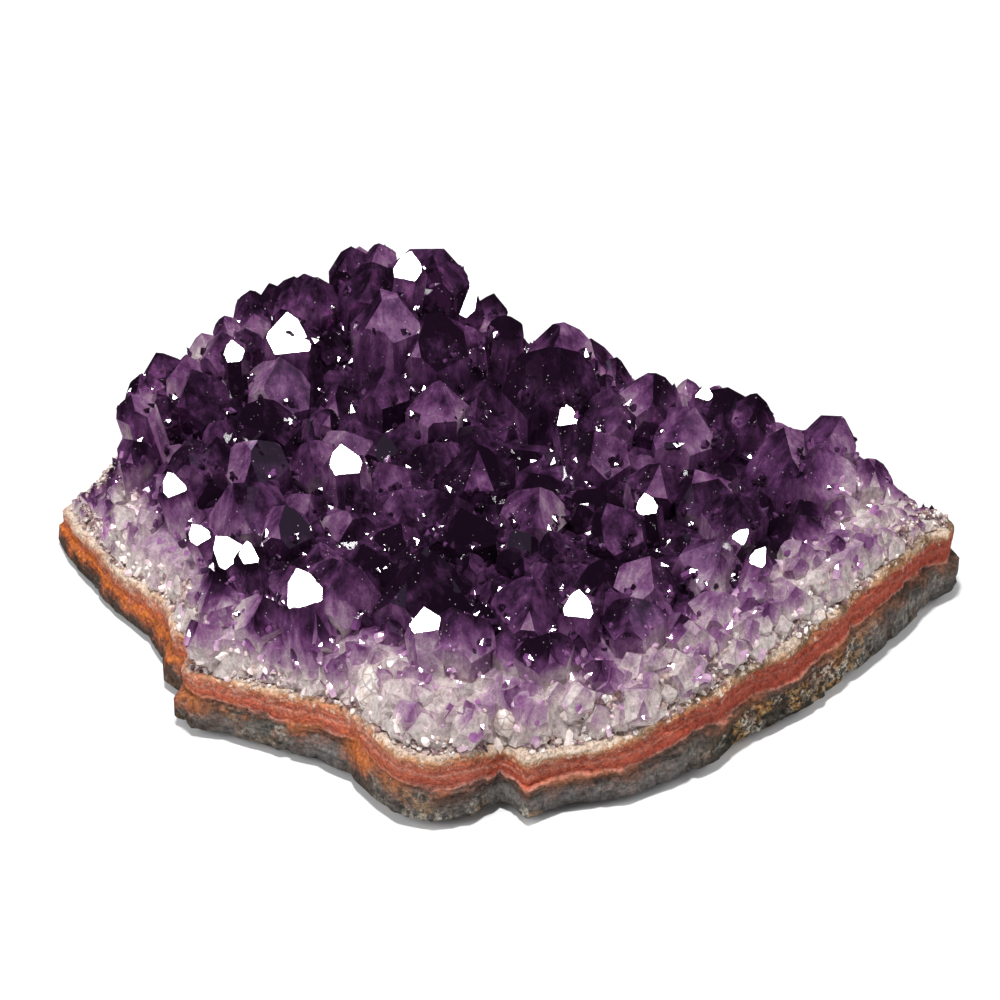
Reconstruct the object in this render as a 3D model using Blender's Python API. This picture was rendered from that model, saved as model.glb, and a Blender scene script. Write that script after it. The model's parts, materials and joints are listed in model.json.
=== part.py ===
"""Amethyst cluster: a slab of banded agate and basalt under one crust of crystals grown together.

Run with: blender --background --python part.py
Units are metres, +Z is up, and the origin is under the middle of the object, at its underside.
+X runs to the right and +Y away, as the object is seen from its long, low side.
"""

import math
import random
from collections import namedtuple

import bmesh
import bpy
from mathutils import Matrix, Vector, noise

MM = 0.001

# The line of sight along which outline and crystal tips were placed, for a picture of 1000 points
VIEW_ELEVATION = math.radians(38.0)
VIEW_TARGET = Vector((-0.8, 3.9, 20.0)) * MM
VIEW_DISTANCE = 600 * MM
VIEW_POINTS_PER_TANGENT = 3590.0
VIEW_MIDDLE = 500.0

# The height at which the slab reaches out farthest, as it is seen from the front
SEEN_HEIGHT = 1.8 * MM

Layer = namedtuple("Layer", "share inset lift swing")

# The slab's layers from the foot up: share of the rim's height, inset, and how far both wander, in mm
LAYERS = (
    Layer(share=0.0, inset=5.0, lift=0.0, swing=1.4),
    Layer(share=0.14, inset=0.4, lift=0.4, swing=0.8),
    Layer(share=0.50, inset=0.9, lift=0.9, swing=1.3),
    Layer(share=0.56, inset=2.0, lift=0.9, swing=1.0),
    Layer(share=0.93, inset=2.0, lift=0.3, swing=0.9),
)
RIM_INSET = 2.9 * MM
RIM_SWING = 0.7 * MM
ROUGH_PER_METRE = 90.0
ROUGH_LEVEL_STEP = 7.3

# The slab's hidden upper face, and the gap that the crust keeps to it
INNER_SHARE = 0.5
INNER_HEIGHT = 12.5 * MM
GAP = 0.3 * MM

# The crust between the crystals
BED_SINK = 1.0 * MM
BED_FOOT_INSET = 3.7 * MM
BED_SHOULDER_INSET = 5.8 * MM
BED_SHOULDER_RISE = 6.5 * MM
BED_DEPTH = 7.0 * MM
FLUTE_SPACING = 5.4 * MM
FLUTE_LEAST = 0.3 * MM
FLUTE_MOST = 1.1 * MM
BED_SHARES = (0.78, 0.40)
CREST_FALL = 13.0 * MM
CREST_FALL_BACK = 6.0 * MM
CREST_BACK_FROM = 5.0 * MM
CREST_BACK_FULL = 25.0 * MM
CREST_EDGE_RISE = 9.0 * MM
CREST_SOFTNESS = 6.0 * MM
CREST_FALLOFF = 1.6
HIGHEST_TIP = 48.0 * MM

# Towards both ends no tip stands over a line: where it starts, its height there, how steeply it rises
LEFT_END = (-66.5 * MM, 15.0 * MM, 5.0)
RIGHT_END = (71.0 * MM, 14.5 * MM, 1.0)
END_LEAST_RISE = 2.0 * MM
BED_LEAST_DEPTH = 1.2 * MM

# How the place of a tip that stands out is searched for
TIP_STEPS = 40
TIP_STEP_SHARE = 0.4

# A quartz crystal's end faces stand this far off its length
END_FACE_ANGLE = math.radians(38.2)

# How far its faces lie from its axis and from its tip, as shares of its width
SIDE_SHARES = (0.42, 0.53)
END_SHARES = (-0.10, 0.02)
SMALL_END_SHARES = (0.02, 0.14)
BLUNT_CHANCE = 0.3
BLUNT_SHARES = (0.06, 0.20)
BLUNT_TILT = 0.35
SAME_PLACE = 1e-7

# How far a crystal reaches into the crust, and how short it may be for its width
ROOT_RISE = 2.0 * MM
ROOT_SHARE = 0.3
LENGTH_STEP = 0.5 * MM
LEAST_SHARE = 0.4
SHORTEST_SHARE = 1.2

# The direction that the gleaming faces look along: up, and towards the viewer
GLEAM_ELEVATION = math.radians(60.0)
GLEAM_AZIMUTH = math.radians(-4.0)

# How crystals lean out near the rim, and how far each kind strays from that
EDGE_LEAN = math.radians(22.0)
EDGE_LEAN_REACH = 22.0 * MM
HERO_SPREAD = 0.10
RIM_SPREAD = 0.09
FILL_SPREAD = 0.17

RANDOM_SEED = 11
SINK_LEAST = 1.4 * MM
SINK_MOST = 5.0 * MM
RIM_SPACING = 8.0 * MM
RIM_ROW_INSET = 4.8 * MM
RIM_WANDER = 1.2 * MM
RIM_WIDTHS = (6.0 * MM, 8.5 * MM)
FILL_WIDTHS = (11.5 * MM, 10.0 * MM, 9.0 * MM, 7.8 * MM)
FILL_TRIES = 1500
FILL_INSET = 9.5 * MM
CLOSENESS = 0.40

# The slab's widest outline along its visible side, left to right: picture point, rim's height in mm
FRONT_EDGE = (
    (55, 535, 8.0),
    (66, 556, 8.0),
    (86, 578, 8.5),
    (106, 605, 9.0),
    (126, 620, 9.5),
    (144, 636, 10.5),
    (161, 658, 11.5),
    (163, 681, 12.0),
    (182, 693, 12.0),
    (174, 717, 12.0),
    (190, 729, 12.0),
    (225, 736, 12.0),
    (275, 750, 12.5),
    (310, 759, 13.0),
    (340, 772, 13.5),
    (358, 789, 14.5),
    (374, 805, 15.0),
    (395, 820, 14.5),
    (430, 826, 14.0),
    (468, 820, 13.5),
    (490, 812, 12.5),
    (500, 803, 12.0),
    (510, 808, 12.0),
    (527, 821, 13.0),
    (563, 807, 12.5),
    (598, 803, 12.5),
    (630, 800, 13.0),
    (685, 780, 14.0),
    (722, 762, 15.0),
    (740, 748, 15.5),
    (775, 728, 16.0),
    (820, 702, 16.0),
    (857, 672, 16.5),
    (905, 635, 17.0),
    (921, 617, 16.5),
    (934, 602, 16.0),
    (954, 592, 15.0),
    (960, 581, 14.5),
    (955, 569, 14.0),
)

# The slab's outline along its hidden side, right to left: x, y and height of the rim in mm
BACK_EDGE = (
    (72.0, 10.0, 14.0),
    (67.0, 14.5, 15.0),
    (60.0, 21.0, 15.0),
    (51.0, 26.5, 15.0),
    (42.0, 30.0, 15.5),
    (31.0, 33.5, 16.0),
    (19.0, 39.0, 17.0),
    (8.0, 45.0, 18.5),
    (-4.0, 50.5, 20.0),
    (-14.0, 54.5, 21.0),
    (-26.0, 55.5, 21.0),
    (-38.0, 52.5, 20.0),
    (-47.0, 47.5, 18.0),
    (-55.0, 42.0, 15.5),
    (-63.0, 36.5, 13.0),
    (-69.0, 31.0, 11.0),
    (-73.0, 24.0, 9.0),
)

# How high the crystal tips reach over the bed: x, y and height in mm
CREST = (
    (-20.0, 45.5, 45.0),
    (-45.0, 37.5, 37.0),
    (5.0, 33.5, 38.0),
    (-62.0, 21.5, 27.0),
    (26.0, 25.0, 33.0),
    (44.0, 19.0, 31.0),
    (60.0, 9.0, 29.0),
    (0.0, 7.5, 27.0),
    (-30.0, 7.5, 28.0),
    (30.0, -4.5, 27.0),
    (-15.0, -28.5, 29.0),
    (-45.0, -8.5, 28.0),
    (46.0, -6.5, 29.0),
    (12.0, -30.5, 28.0),
    (6.0, 42.0, 26.0),
    (22.0, 33.0, 24.0),
    (51.0, 23.0, 21.0),
)

Hero = namedtuple("Hero", "across down wide proud gleams")

# The crystals that stand out: picture point of the tip, width and extra height in mm, if it gleams
HEROES = tuple(
    Hero(*row)
    for row in (
        (131, 394, 6.5, 5.0, False),
        (126, 378, 7.5, 3.0, False),
        (140, 374, 7.5, 1.0, False),
        (163, 353, 8.5, 1.0, False),
        (222, 331, 8.5, 2.0, False),
        (186, 354, 7.0, 1.5, False),
        (232, 340, 4.5, 1.0, True),
        (192, 369, 13.0, 2.5, False),
        (250, 290, 8.0, 1.0, False),
        (268, 284, 8.0, 1.0, False),
        (294, 276, 11.0, 2.0, False),
        (318, 277, 9.0, 1.5, False),
        (287, 312, 9.5, 2.5, True),
        (351, 246, 7.5, 1.0, False),
        (374, 262, 10.5, 2.0, False),
        (379, 243, 6.5, 1.5, False),
        (432, 249, 12.0, 2.5, False),
        (449, 258, 6.5, 1.5, False),
        (411, 251, 6.0, 3.0, True),
        (474, 283, 7.0, 3.0, True),
        (494, 293, 7.0, 1.5, False),
        (505, 315, 6.0, 1.5, False),
        (564, 322, 11.5, 2.0, False),
        (591, 338, 9.0, 1.5, False),
        (548, 347, 16.0, 4.0, False),
        (617, 357, 8.5, 1.0, False),
        (656, 373, 10.5, 1.0, False),
        (706, 384, 4.0, 0.5, True),
        (728, 387, 11.0, 2.0, False),
        (757, 393, 9.0, 1.5, False),
        (784, 427, 14.5, 3.0, False),
        (842, 416, 8.5, 5.0, False),
        (822, 445, 10.5, 3.0, False),
        (868, 458, 8.0, 0.5, False),
        (157, 397, 7.5, 1.0, False),
        (134, 440, 6.5, 1.0, False),
        (168, 472, 5.0, 1.0, True),
        (192, 438, 7.5, 0.5, False),
        (217, 436, 7.5, 0.5, False),
        (262, 398, 10.0, 1.0, False),
        (258, 440, 11.0, 2.0, False),
        (308, 441, 9.0, 1.0, False),
        (341, 444, 7.5, 2.0, True),
        (233, 483, 13.0, 3.0, False),
        (192, 524, 4.5, 0.5, True),
        (216, 536, 7.0, 1.5, True),
        (247, 541, 5.0, 1.5, True),
        (285, 505, 9.0, 1.0, False),
        (297, 568, 8.0, 2.0, True),
        (345, 562, 14.0, 3.0, False),
        (425, 547, 18.0, 4.0, False),
        (424, 607, 6.0, 1.5, True),
        (460, 613, 11.0, 2.0, False),
        (533, 577, 12.0, 2.5, False),
        (579, 589, 6.0, 1.0, True),
        (632, 597, 10.0, 2.0, False),
        (545, 634, 9.0, 1.0, False),
        (650, 556, 9.5, 1.0, False),
        (738, 493, 10.0, 3.0, False),
        (722, 541, 10.5, 2.0, False),
        (748, 529, 4.0, 0.5, True),
        (765, 547, 4.5, 1.0, True),
        (645, 493, 4.5, 0.5, True),
        (426, 314, 13.0, 2.0, False),
        (380, 289, 11.5, 1.5, False),
        (386, 368, 9.0, 1.0, False),
        (440, 380, 10.0, 1.0, False),
        (280, 357, 11.5, 1.0, False),
        (478, 444, 12.0, 3.0, False),
        (460, 507, 11.5, 2.0, False),
        (540, 487, 10.5, 1.0, False),
        (607, 503, 10.0, 1.5, False),
        (660, 463, 9.5, 1.5, False),
        (695, 469, 10.5, 1.5, False),
        (694, 407, 10.5, 1.0, False),
        (612, 388, 11.0, 1.0, False),
        (565, 404, 5.0, 1.0, True),
        (595, 430, 10.0, 0.5, False),
        (215, 568, 11.0, 0.0, False),
        (263, 596, 9.0, 0.0, False),
        (316, 613, 7.5, 0.0, False),
    )
)


def clear_scene():
    for obj in list(bpy.data.objects):
        bpy.data.objects.remove(obj)


def new_collection(name):
    collection = bpy.data.collections.new(name)
    bpy.context.scene.collection.children.link(collection)
    return collection


def material(name, colour, roughness):
    made = bpy.data.materials.new(name)
    made.use_nodes = True
    shader = made.node_tree.nodes["Principled BSDF"]
    shader.inputs["Base Color"].default_value = (*colour, 1.0)
    shader.inputs["Roughness"].default_value = roughness
    shader.inputs["Metallic"].default_value = 0.0
    return made


def on_sight_line(across, down, height):
    """The point at that height that is seen at a picture point."""
    away = Vector((0.0, math.cos(VIEW_ELEVATION), -math.sin(VIEW_ELEVATION)))
    up = Vector((0.0, math.sin(VIEW_ELEVATION), math.cos(VIEW_ELEVATION)))
    right = Vector((1.0, 0.0, 0.0))
    eye = VIEW_TARGET - VIEW_DISTANCE * away
    sight = (
        away
        + right * (across - VIEW_MIDDLE) / VIEW_POINTS_PER_TANGENT
        + up * (VIEW_MIDDLE - down) / VIEW_POINTS_PER_TANGENT
    )
    return eye + sight * (height - eye.z) / sight.z


def slab_outline():
    """The slab's widest outline, anticlockwise from above, with the height of the rim in z."""
    front = [
        on_sight_line(across, down, SEEN_HEIGHT).xy.to_3d() + Vector((0, 0, rim * MM))
        for across, down, rim in FRONT_EDGE
    ]
    back = [Vector(row) * MM for row in BACK_EDGE]
    return front + back


OUTLINE = slab_outline()


def edge_distance(x, y):
    """How far a point lies inside the outline, and the rim's height at the nearest place."""
    point = Vector((x, y))
    nearest, rim, inside = math.inf, 0.0, False
    for start, end in zip(OUTLINE, OUTLINE[1:] + OUTLINE[:1]):
        along = (end - start).xy
        share = max(0.0, min(1.0, (point - start.xy).dot(along) / along.length_squared))
        distance = (start.xy + along * share - point).length
        if distance < nearest:
            nearest, rim = distance, start.z + (end.z - start.z) * share
        if (start.y > y) != (end.y > y):
            crossing = start.x + (y - start.y) / (end.y - start.y) * (end.x - start.x)
            inside = inside != (x < crossing)
    return (nearest if inside else -nearest), rim


def inward(x, y):
    """The level direction that leads away from the nearest edge."""
    step = 0.2 * MM
    uphill = Vector(
        (
            edge_distance(x + step, y)[0] - edge_distance(x - step, y)[0],
            edge_distance(x, y + step)[0] - edge_distance(x, y - step)[0],
        )
    )
    return uphill.normalized()


def smooth_step(share):
    share = max(0.0, min(1.0, share))
    return share * share * (3.0 - 2.0 * share)


def crest_height(x, y):
    """How high the crystal tips reach at a place."""
    total, weights = 0.0, 0.0
    for near_x, near_y, height in CREST:
        gap = (x - near_x * MM) ** 2 + (y - near_y * MM) ** 2
        weight = 1.0 / (gap + CREST_SOFTNESS**2) ** CREST_FALLOFF
        total += weight * height * MM
        weights += weight
    inner = total / weights
    distance, rim = edge_distance(x, y)
    outer = rim + CREST_EDGE_RISE
    at_back = smooth_step((y - CREST_BACK_FROM) / (CREST_BACK_FULL - CREST_BACK_FROM))
    fall = CREST_FALL + (CREST_FALL_BACK - CREST_FALL) * at_back
    height = outer + (inner - outer) * smooth_step(distance / fall)
    left = LEFT_END[1] + LEFT_END[2] * (x - LEFT_END[0])
    right = RIGHT_END[1] + RIGHT_END[2] * (RIGHT_END[0] - x)
    return min(height, max(min(left, right), rim + END_LEAST_RISE))


def evenly_spaced(outline, spacing):
    """Points along an outline, each one spacing after the last."""
    points, step = [], 0.0
    for start, end in zip(outline, outline[1:] + outline[:1]):
        length = (end - start).xy.length
        while step < length:
            points.append(start.lerp(end, step / length))
            step += spacing
        step -= length
    return points


def ring(radial_inset, height_of, outline=OUTLINE):
    """An outline drawn in towards the middle, at the height that height_of gives for each point."""
    points = []
    for corner in outline:
        reach = corner.xy.length
        place = corner.xy * (1.0 - radial_inset(corner) / reach)
        points.append(Vector((place.x, place.y, height_of(corner, place))))
    return points


def rough(place, level, size):
    """A steady unevenness of at most size, which varies along the edge and with the level."""
    across, along = place.xy * ROUGH_PER_METRE
    return size * noise.noise(Vector((across, along, level * ROUGH_LEVEL_STEP)))


def loft(name, rings, foot, top):
    """A closed body through rings of equal count, each cap a fan to one point."""
    bm = bmesh.new()
    rows = [[bm.verts.new(point) for point in points] for points in rings]
    ends = bm.verts.new(foot), bm.verts.new(top)
    for lower, upper in zip(rows, rows[1:]):
        for i in range(len(lower)):
            j = (i + 1) % len(lower)
            bm.faces.new((lower[i], lower[j], upper[j]))
            bm.faces.new((lower[i], upper[j], upper[i]))
    for cap, row in zip(ends, (rows[0], rows[-1])):
        for i in range(len(row)):
            bm.faces.new((cap, row[i], row[(i + 1) % len(row)]))
    bmesh.ops.recalc_face_normals(bm, faces=bm.faces)
    mesh = bpy.data.meshes.new(name)
    bm.to_mesh(mesh)
    bm.free()
    return bpy.data.objects.new(name, mesh)


def rim_ring(rise):
    """The slab's top edge, moved up."""
    return ring(
        lambda corner: RIM_INSET + rough(corner, len(LAYERS), RIM_SWING),
        lambda corner, place: corner.z + rise,
    )


def inner_ring(rise):
    """The edge of the hollow in the slab's upper face, moved up."""
    return ring(
        lambda corner: (1.0 - INNER_SHARE) * corner.xy.length,
        lambda corner, place: INNER_HEIGHT + rise,
    )


def make_matrix():
    """The rock slab: a flat foot, a rugged rind, a ledge, and the band above it, set back a little."""
    rings = []
    for level, layer in enumerate(LAYERS):
        rings.append(
            ring(
                lambda corner: layer.inset * MM + rough(corner, level, layer.swing * MM),
                lambda corner, place: corner.z * layer.share
                + rough(place, level + len(LAYERS), layer.lift * MM),
            )
        )
    rings.append(rim_ring(0.0))
    rings.append(inner_ring(0.0))
    return loft(
        "matrix", rings, Vector((0.0, 0.0, 0.0)), Vector((0.0, 0.0, INNER_HEIGHT))
    )


def make_bed():
    """The quartz between the crystals, from just under the slab's face up to the valleys."""
    rng = random.Random(RANDOM_SEED)
    outline = evenly_spaced(OUTLINE, FLUTE_SPACING)
    flutes = {
        tuple(corner): rng.uniform(FLUTE_LEAST, FLUTE_MOST) * (-1) ** number
        for number, corner in enumerate(outline)
    }
    rings = []
    for inset, rise in (
        (BED_FOOT_INSET, -BED_SINK),
        (BED_SHOULDER_INSET, BED_SHOULDER_RISE),
    ):
        rings.append(
            ring(
                lambda corner: inset + flutes[tuple(corner)],
                lambda corner, place: min(
                    corner.z + rise, crest_height(*place) - BED_LEAST_DEPTH
                ),
                outline,
            )
        )
    for share in BED_SHARES:
        rings.append(
            ring(
                lambda corner: (1.0 - share) * corner.xy.length,
                lambda corner, place: crest_height(*place) - BED_DEPTH,
                outline,
            )
        )
    top = Vector((0.0, 0.0, crest_height(0.0, 0.0) - BED_DEPTH))
    return loft("bed", rings, Vector((0.0, 0.0, INNER_HEIGHT - BED_SINK)), top)


def make_slab_clearance():
    """All that the crust has to stay out of: the slab, its gap, and the space round and under it."""
    far = 30.0 * MM
    low = -10.0 * MM
    rings = [
        ring(lambda corner: -far, lambda corner, place: low),
        ring(lambda corner: -far, lambda corner, place: corner.z + GAP),
        rim_ring(GAP),
        inner_ring(GAP),
    ]
    return loft(
        "slab_clearance",
        rings,
        Vector((0.0, 0.0, low)),
        Vector((0.0, 0.0, INNER_HEIGHT + GAP)),
    )


def cut(bm, place, normal):
    """Takes away what lies beyond a plane and closes the cut with one flat face."""
    geometry = list(bm.verts) + list(bm.edges) + list(bm.faces)
    found = bmesh.ops.bisect_plane(
        bm,
        geom=geometry,
        dist=SAME_PLACE,
        plane_co=place,
        plane_no=normal,
        clear_outer=True,
    )
    edges = [e for e in found["geom_cut"] if isinstance(e, bmesh.types.BMEdge)]
    if len(edges) > 2:
        bmesh.ops.holes_fill(bm, edges=edges)


def crystal_mesh(name, width, length, small_faces, blunt, exact, rng):
    """A crystal along +Z, its highest corner level with the origin, with three large end faces."""
    bm = bmesh.new()
    bmesh.ops.create_cube(bm, size=1.0)
    bmesh.ops.scale(bm, vec=(width * 2, width * 2, length), verts=bm.verts)
    bmesh.ops.translate(bm, vec=(0.0, 0.0, -length / 2), verts=bm.verts)
    for side in range(6):
        angle = side * math.pi / 3
        out = Vector((math.cos(angle), math.sin(angle), 0.0))
        cut(bm, out * width * rng.uniform(*SIDE_SHARES), out)
    for side in range(6):
        angle = side * math.pi / 3
        out = Vector(
            (
                math.cos(angle) * math.cos(END_FACE_ANGLE),
                math.sin(angle) * math.cos(END_FACE_ANGLE),
                math.sin(END_FACE_ANGLE),
            )
        )
        if side % 2 == 0:
            cut(bm, out * width * rng.uniform(*END_SHARES), out)
        elif side // 2 < small_faces:
            cut(bm, out * width * rng.uniform(*SMALL_END_SHARES), out)
    if blunt:
        tilted = Vector((rng.gauss(0, BLUNT_TILT), rng.gauss(0, BLUNT_TILT), 1.0))
        low = Vector((0.0, 0.0, -width * rng.uniform(*BLUNT_SHARES)))
        cut(bm, low, tilted.normalized())
    highest = max((vert.co.copy() for vert in bm.verts), key=lambda corner: corner.z)
    if not exact:
        highest.xy = (0.0, 0.0)
    bmesh.ops.translate(bm, vec=-highest, verts=bm.verts)
    bmesh.ops.recalc_face_normals(bm, faces=bm.faces)
    mesh = bpy.data.meshes.new(name)
    bm.to_mesh(mesh)
    bm.free()
    return mesh


def gleaming_axes(upright):
    """Axes of a crystal whose first end face looks along the gleam, its length near upright."""
    gleam = Vector(
        (
            math.sin(GLEAM_AZIMUTH) * math.cos(GLEAM_ELEVATION),
            -math.cos(GLEAM_AZIMUTH) * math.cos(GLEAM_ELEVATION),
            math.sin(GLEAM_ELEVATION),
        )
    )
    sideways = (upright - gleam * upright.dot(gleam)).normalized()
    axis = gleam * math.sin(END_FACE_ANGLE) + sideways * math.cos(END_FACE_ANGLE)
    first = (gleam - axis * math.sin(END_FACE_ANGLE)).normalized()
    return first, axis.cross(first), axis


def turned_axes(axis, turn):
    """Axes of a crystal along axis, turned about it."""
    first = axis.orthogonal().normalized()
    first = Matrix.Rotation(turn, 3, axis) @ first
    return first, axis.cross(first), axis


def growth(place, rng, spread):
    """The way a crystal grows there: up, leaning out towards the rim, and a little its own way."""
    distance, _ = edge_distance(place.x, place.y)
    lean = EDGE_LEAN * (1.0 - smooth_step(distance / EDGE_LEAN_REACH))
    out = -inward(place.x, place.y).to_3d()
    own = Vector((rng.gauss(0.0, spread), rng.gauss(0.0, spread), 0.0))
    return (Vector((0.0, 0.0, 1.0)) + out * math.tan(lean) + own).normalized()


def is_rooted(root, width):
    """Whether a crystal that starts there starts inside the crust."""
    return edge_distance(root.x, root.y)[0] > BED_FOOT_INSET + ROOT_SHARE * width


def place_crystal(name, tip, axes, width, faces, rng, cutters):
    """Adds a crystal with its tip there, long enough to root in the crust and not to leave it.

    faces holds the number of small end faces, if the tip is broken off, and if its highest corner is
    exactly at tip, not only level with it.
    """
    axis = axes[2]
    length = (tip.z - INNER_HEIGHT - ROOT_RISE) / axis.z
    if length < LEAST_SHARE * width:
        return
    while not is_rooted(tip - axis * length, width):
        length -= LENGTH_STEP
        if length < SHORTEST_SHARE * width:
            return
    mesh = crystal_mesh(name, width, length, *faces, rng)
    obj = bpy.data.objects.new(name, mesh)
    turn = Matrix((axes[0], axes[1], axes[2])).transposed().to_4x4()
    obj.matrix_world = Matrix.Translation(tip) @ turn
    cutters.objects.link(obj)
    obj.hide_render = True
    obj.display_type = "WIRE"


def hero_tip(hero):
    """The tip's place on its sight line, as high as the crest there and its own extra height."""
    height = HIGHEST_TIP
    for _ in range(TIP_STEPS):
        point = on_sight_line(hero.across, hero.down, height)
        aim = crest_height(point.x, point.y) + hero.proud * MM
        height += TIP_STEP_SHARE * (aim - height)
    return on_sight_line(hero.across, hero.down, height)


def make_heroes(rng, taken, growing):
    """Places the crystals that stand out, and notes where they are."""
    for number, hero in enumerate(HEROES):
        tip = hero_tip(hero)
        upright = growth(tip, rng, HERO_SPREAD)
        if hero.gleams:
            axes = gleaming_axes(upright)
        else:
            axes = turned_axes(upright, rng.uniform(0.0, math.pi / 3))
        wide = hero.wide * MM
        faces = (3, not hero.gleams and rng.random() < BLUNT_CHANCE, True)
        place_crystal(f"hero_{number:02d}", tip, axes, wide, faces, rng, growing)
        taken.append((tip.x, tip.y, wide))


def is_free(x, y, wide, taken):
    return all(
        math.hypot(x - near_x, y - near_y) > CLOSENESS * (wide + near_wide)
        for near_x, near_y, near_wide in taken
    )


def add_crystal(kind, x, y, wide, spread, rng, taken, growing):
    """Adds a crystal whose tip is a little under the crest there, if there is room."""
    if not is_free(x, y, wide, taken):
        return
    tip = Vector((x, y, crest_height(x, y) - rng.uniform(SINK_LEAST, SINK_MOST)))
    axes = turned_axes(growth(tip, rng, spread), rng.uniform(0.0, math.pi / 3))
    name = f"{kind}_{len(taken):03d}"
    faces = (rng.randrange(2), rng.random() < BLUNT_CHANCE, False)
    place_crystal(name, tip, axes, wide, faces, rng, growing)
    taken.append((x, y, wide))


def make_crystals(growing):
    """All the crystals: those that stand out, a row along the rim, and those that fill the rest."""
    rng = random.Random(RANDOM_SEED)
    taken = []
    make_heroes(rng, taken, growing)
    for corner in evenly_spaced(OUTLINE, RIM_SPACING):
        place = corner.xy * (1.0 - RIM_ROW_INSET / corner.xy.length)
        aim = RIM_ROW_INSET + rng.uniform(-RIM_WANDER, RIM_WANDER)
        place += inward(*place) * (aim - edge_distance(*place)[0])
        wide = rng.uniform(*RIM_WIDTHS)
        add_crystal("rim", *place, wide, RIM_SPREAD, rng, taken, growing)
    half_long = max(abs(corner.x) for corner in OUTLINE)
    half_wide = max(abs(corner.y) for corner in OUTLINE)
    for wide in FILL_WIDTHS:
        for _ in range(FILL_TRIES):
            x = rng.uniform(-half_long, half_long)
            y = rng.uniform(-half_wide, half_wide)
            if edge_distance(x, y)[0] > FILL_INSET:
                add_crystal("fill", x, y, wide, FILL_SPREAD, rng, taken, growing)
    return len(taken)


def make_crust(parts, cutters):
    """The crystals and their bed, joined into one body and cut clear of the slab."""
    crust = make_bed()
    crust.name = "crystals"
    parts.objects.link(crust)
    growing = new_collection("growing")
    growing.hide_render = True
    count = make_crystals(growing)
    join = crust.modifiers.new("join_crystals", "BOOLEAN")
    join.operation = "UNION"
    join.operand_type = "COLLECTION"
    join.collection = growing
    clearance = make_slab_clearance()
    cutters.objects.link(clearance)
    clearance.hide_render = True
    clearance.display_type = "WIRE"
    trim = crust.modifiers.new("clear_of_slab", "BOOLEAN")
    trim.operation = "DIFFERENCE"
    trim.object = clearance
    return crust, count


def main():
    clear_scene()
    parts = new_collection("amethyst_cluster")
    cutters = new_collection("cutters")
    matrix = make_matrix()
    parts.objects.link(matrix)
    crust, count = make_crust(parts, cutters)
    matrix.data.materials.append(material("banded_rock", (0.36, 0.20, 0.15), 0.6))
    crust.data.materials.append(material("amethyst", (0.16, 0.06, 0.26), 0.1))
    print("crystals:", count)


main()
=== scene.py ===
"""Looks of the amethyst cluster: crystals, milky quartz, banded rock, studio light and camera."""

import json
import math
import random
from collections import namedtuple

import bmesh
import bpy
import numpy as np
from mathutils import Matrix, Vector, noise

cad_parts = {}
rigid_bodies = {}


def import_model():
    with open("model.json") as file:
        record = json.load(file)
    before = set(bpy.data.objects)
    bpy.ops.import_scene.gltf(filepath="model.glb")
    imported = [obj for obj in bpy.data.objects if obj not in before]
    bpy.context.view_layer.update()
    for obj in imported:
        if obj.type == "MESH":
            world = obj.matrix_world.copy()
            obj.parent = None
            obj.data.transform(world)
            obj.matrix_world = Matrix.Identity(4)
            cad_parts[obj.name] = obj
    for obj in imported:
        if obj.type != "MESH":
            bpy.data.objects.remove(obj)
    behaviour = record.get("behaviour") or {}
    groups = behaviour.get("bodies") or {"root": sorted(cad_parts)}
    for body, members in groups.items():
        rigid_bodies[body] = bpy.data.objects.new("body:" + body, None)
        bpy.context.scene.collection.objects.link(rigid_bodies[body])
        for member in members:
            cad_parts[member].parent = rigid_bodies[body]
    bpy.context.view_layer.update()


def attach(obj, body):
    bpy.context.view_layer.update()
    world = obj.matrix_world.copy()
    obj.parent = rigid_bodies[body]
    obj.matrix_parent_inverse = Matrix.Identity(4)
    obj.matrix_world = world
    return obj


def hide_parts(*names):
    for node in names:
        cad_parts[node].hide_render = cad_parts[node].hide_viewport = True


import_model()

MM = 0.001

# The camera, and the line of sight along which the outline and the crystal tips were placed
VIEW_ELEVATION = math.radians(38.0)
VIEW_TARGET = Vector((-0.8, 3.9, 20.0)) * MM
VIEW_DISTANCE = 600 * MM
VIEW_POINTS_PER_TANGENT = 3590.0
VIEW_MIDDLE = 500.0
PICTURE_WIDTH = 1000.0
AWAY = Vector((0.0, math.cos(VIEW_ELEVATION), -math.sin(VIEW_ELEVATION)))
EYE = VIEW_TARGET - VIEW_DISTANCE * AWAY

# The small bright light that the gleaming faces mirror, and the soft ones round it
KEY_PLACE = Vector((-30.0, -110.0, 760.0)) * MM
KEY_SIZE = 120 * MM
KEY_POWER = 5.0
WORLD_LIGHT = 0.24
WHITE = (1.0, 1.0, 1.0)
VIOLET = (0.80, 0.66, 1.0)

# The lights: place and size in metres, power, colour, and if the crystals mirror it
LIGHTS = (
    ("key", KEY_PLACE, KEY_SIZE, KEY_POWER, WHITE, True),
    ("fill_left", (-0.9, -0.4, 0.7), 0.7, 6.0, WHITE, False),
    ("fill_right", (0.9, 0.1, 0.6), 0.6, 4.0, WHITE, False),
    ("far_card", (-0.35, 0.45, 0.75), 0.34, 0.45, (0.72, 0.78, 1.0), True),
    ("left_card", (-0.80, -0.35, 0.45), 0.50, 0.25, VIOLET, True),
    ("right_card", (0.85, -0.15, 0.55), 0.45, 0.20, VIOLET, True),
)

# The height at which the slab reaches out farthest, as it is seen from the front
SEEN_HEIGHT = 1.8 * MM

Layer = namedtuple("Layer", "share inset lift swing")

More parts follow.
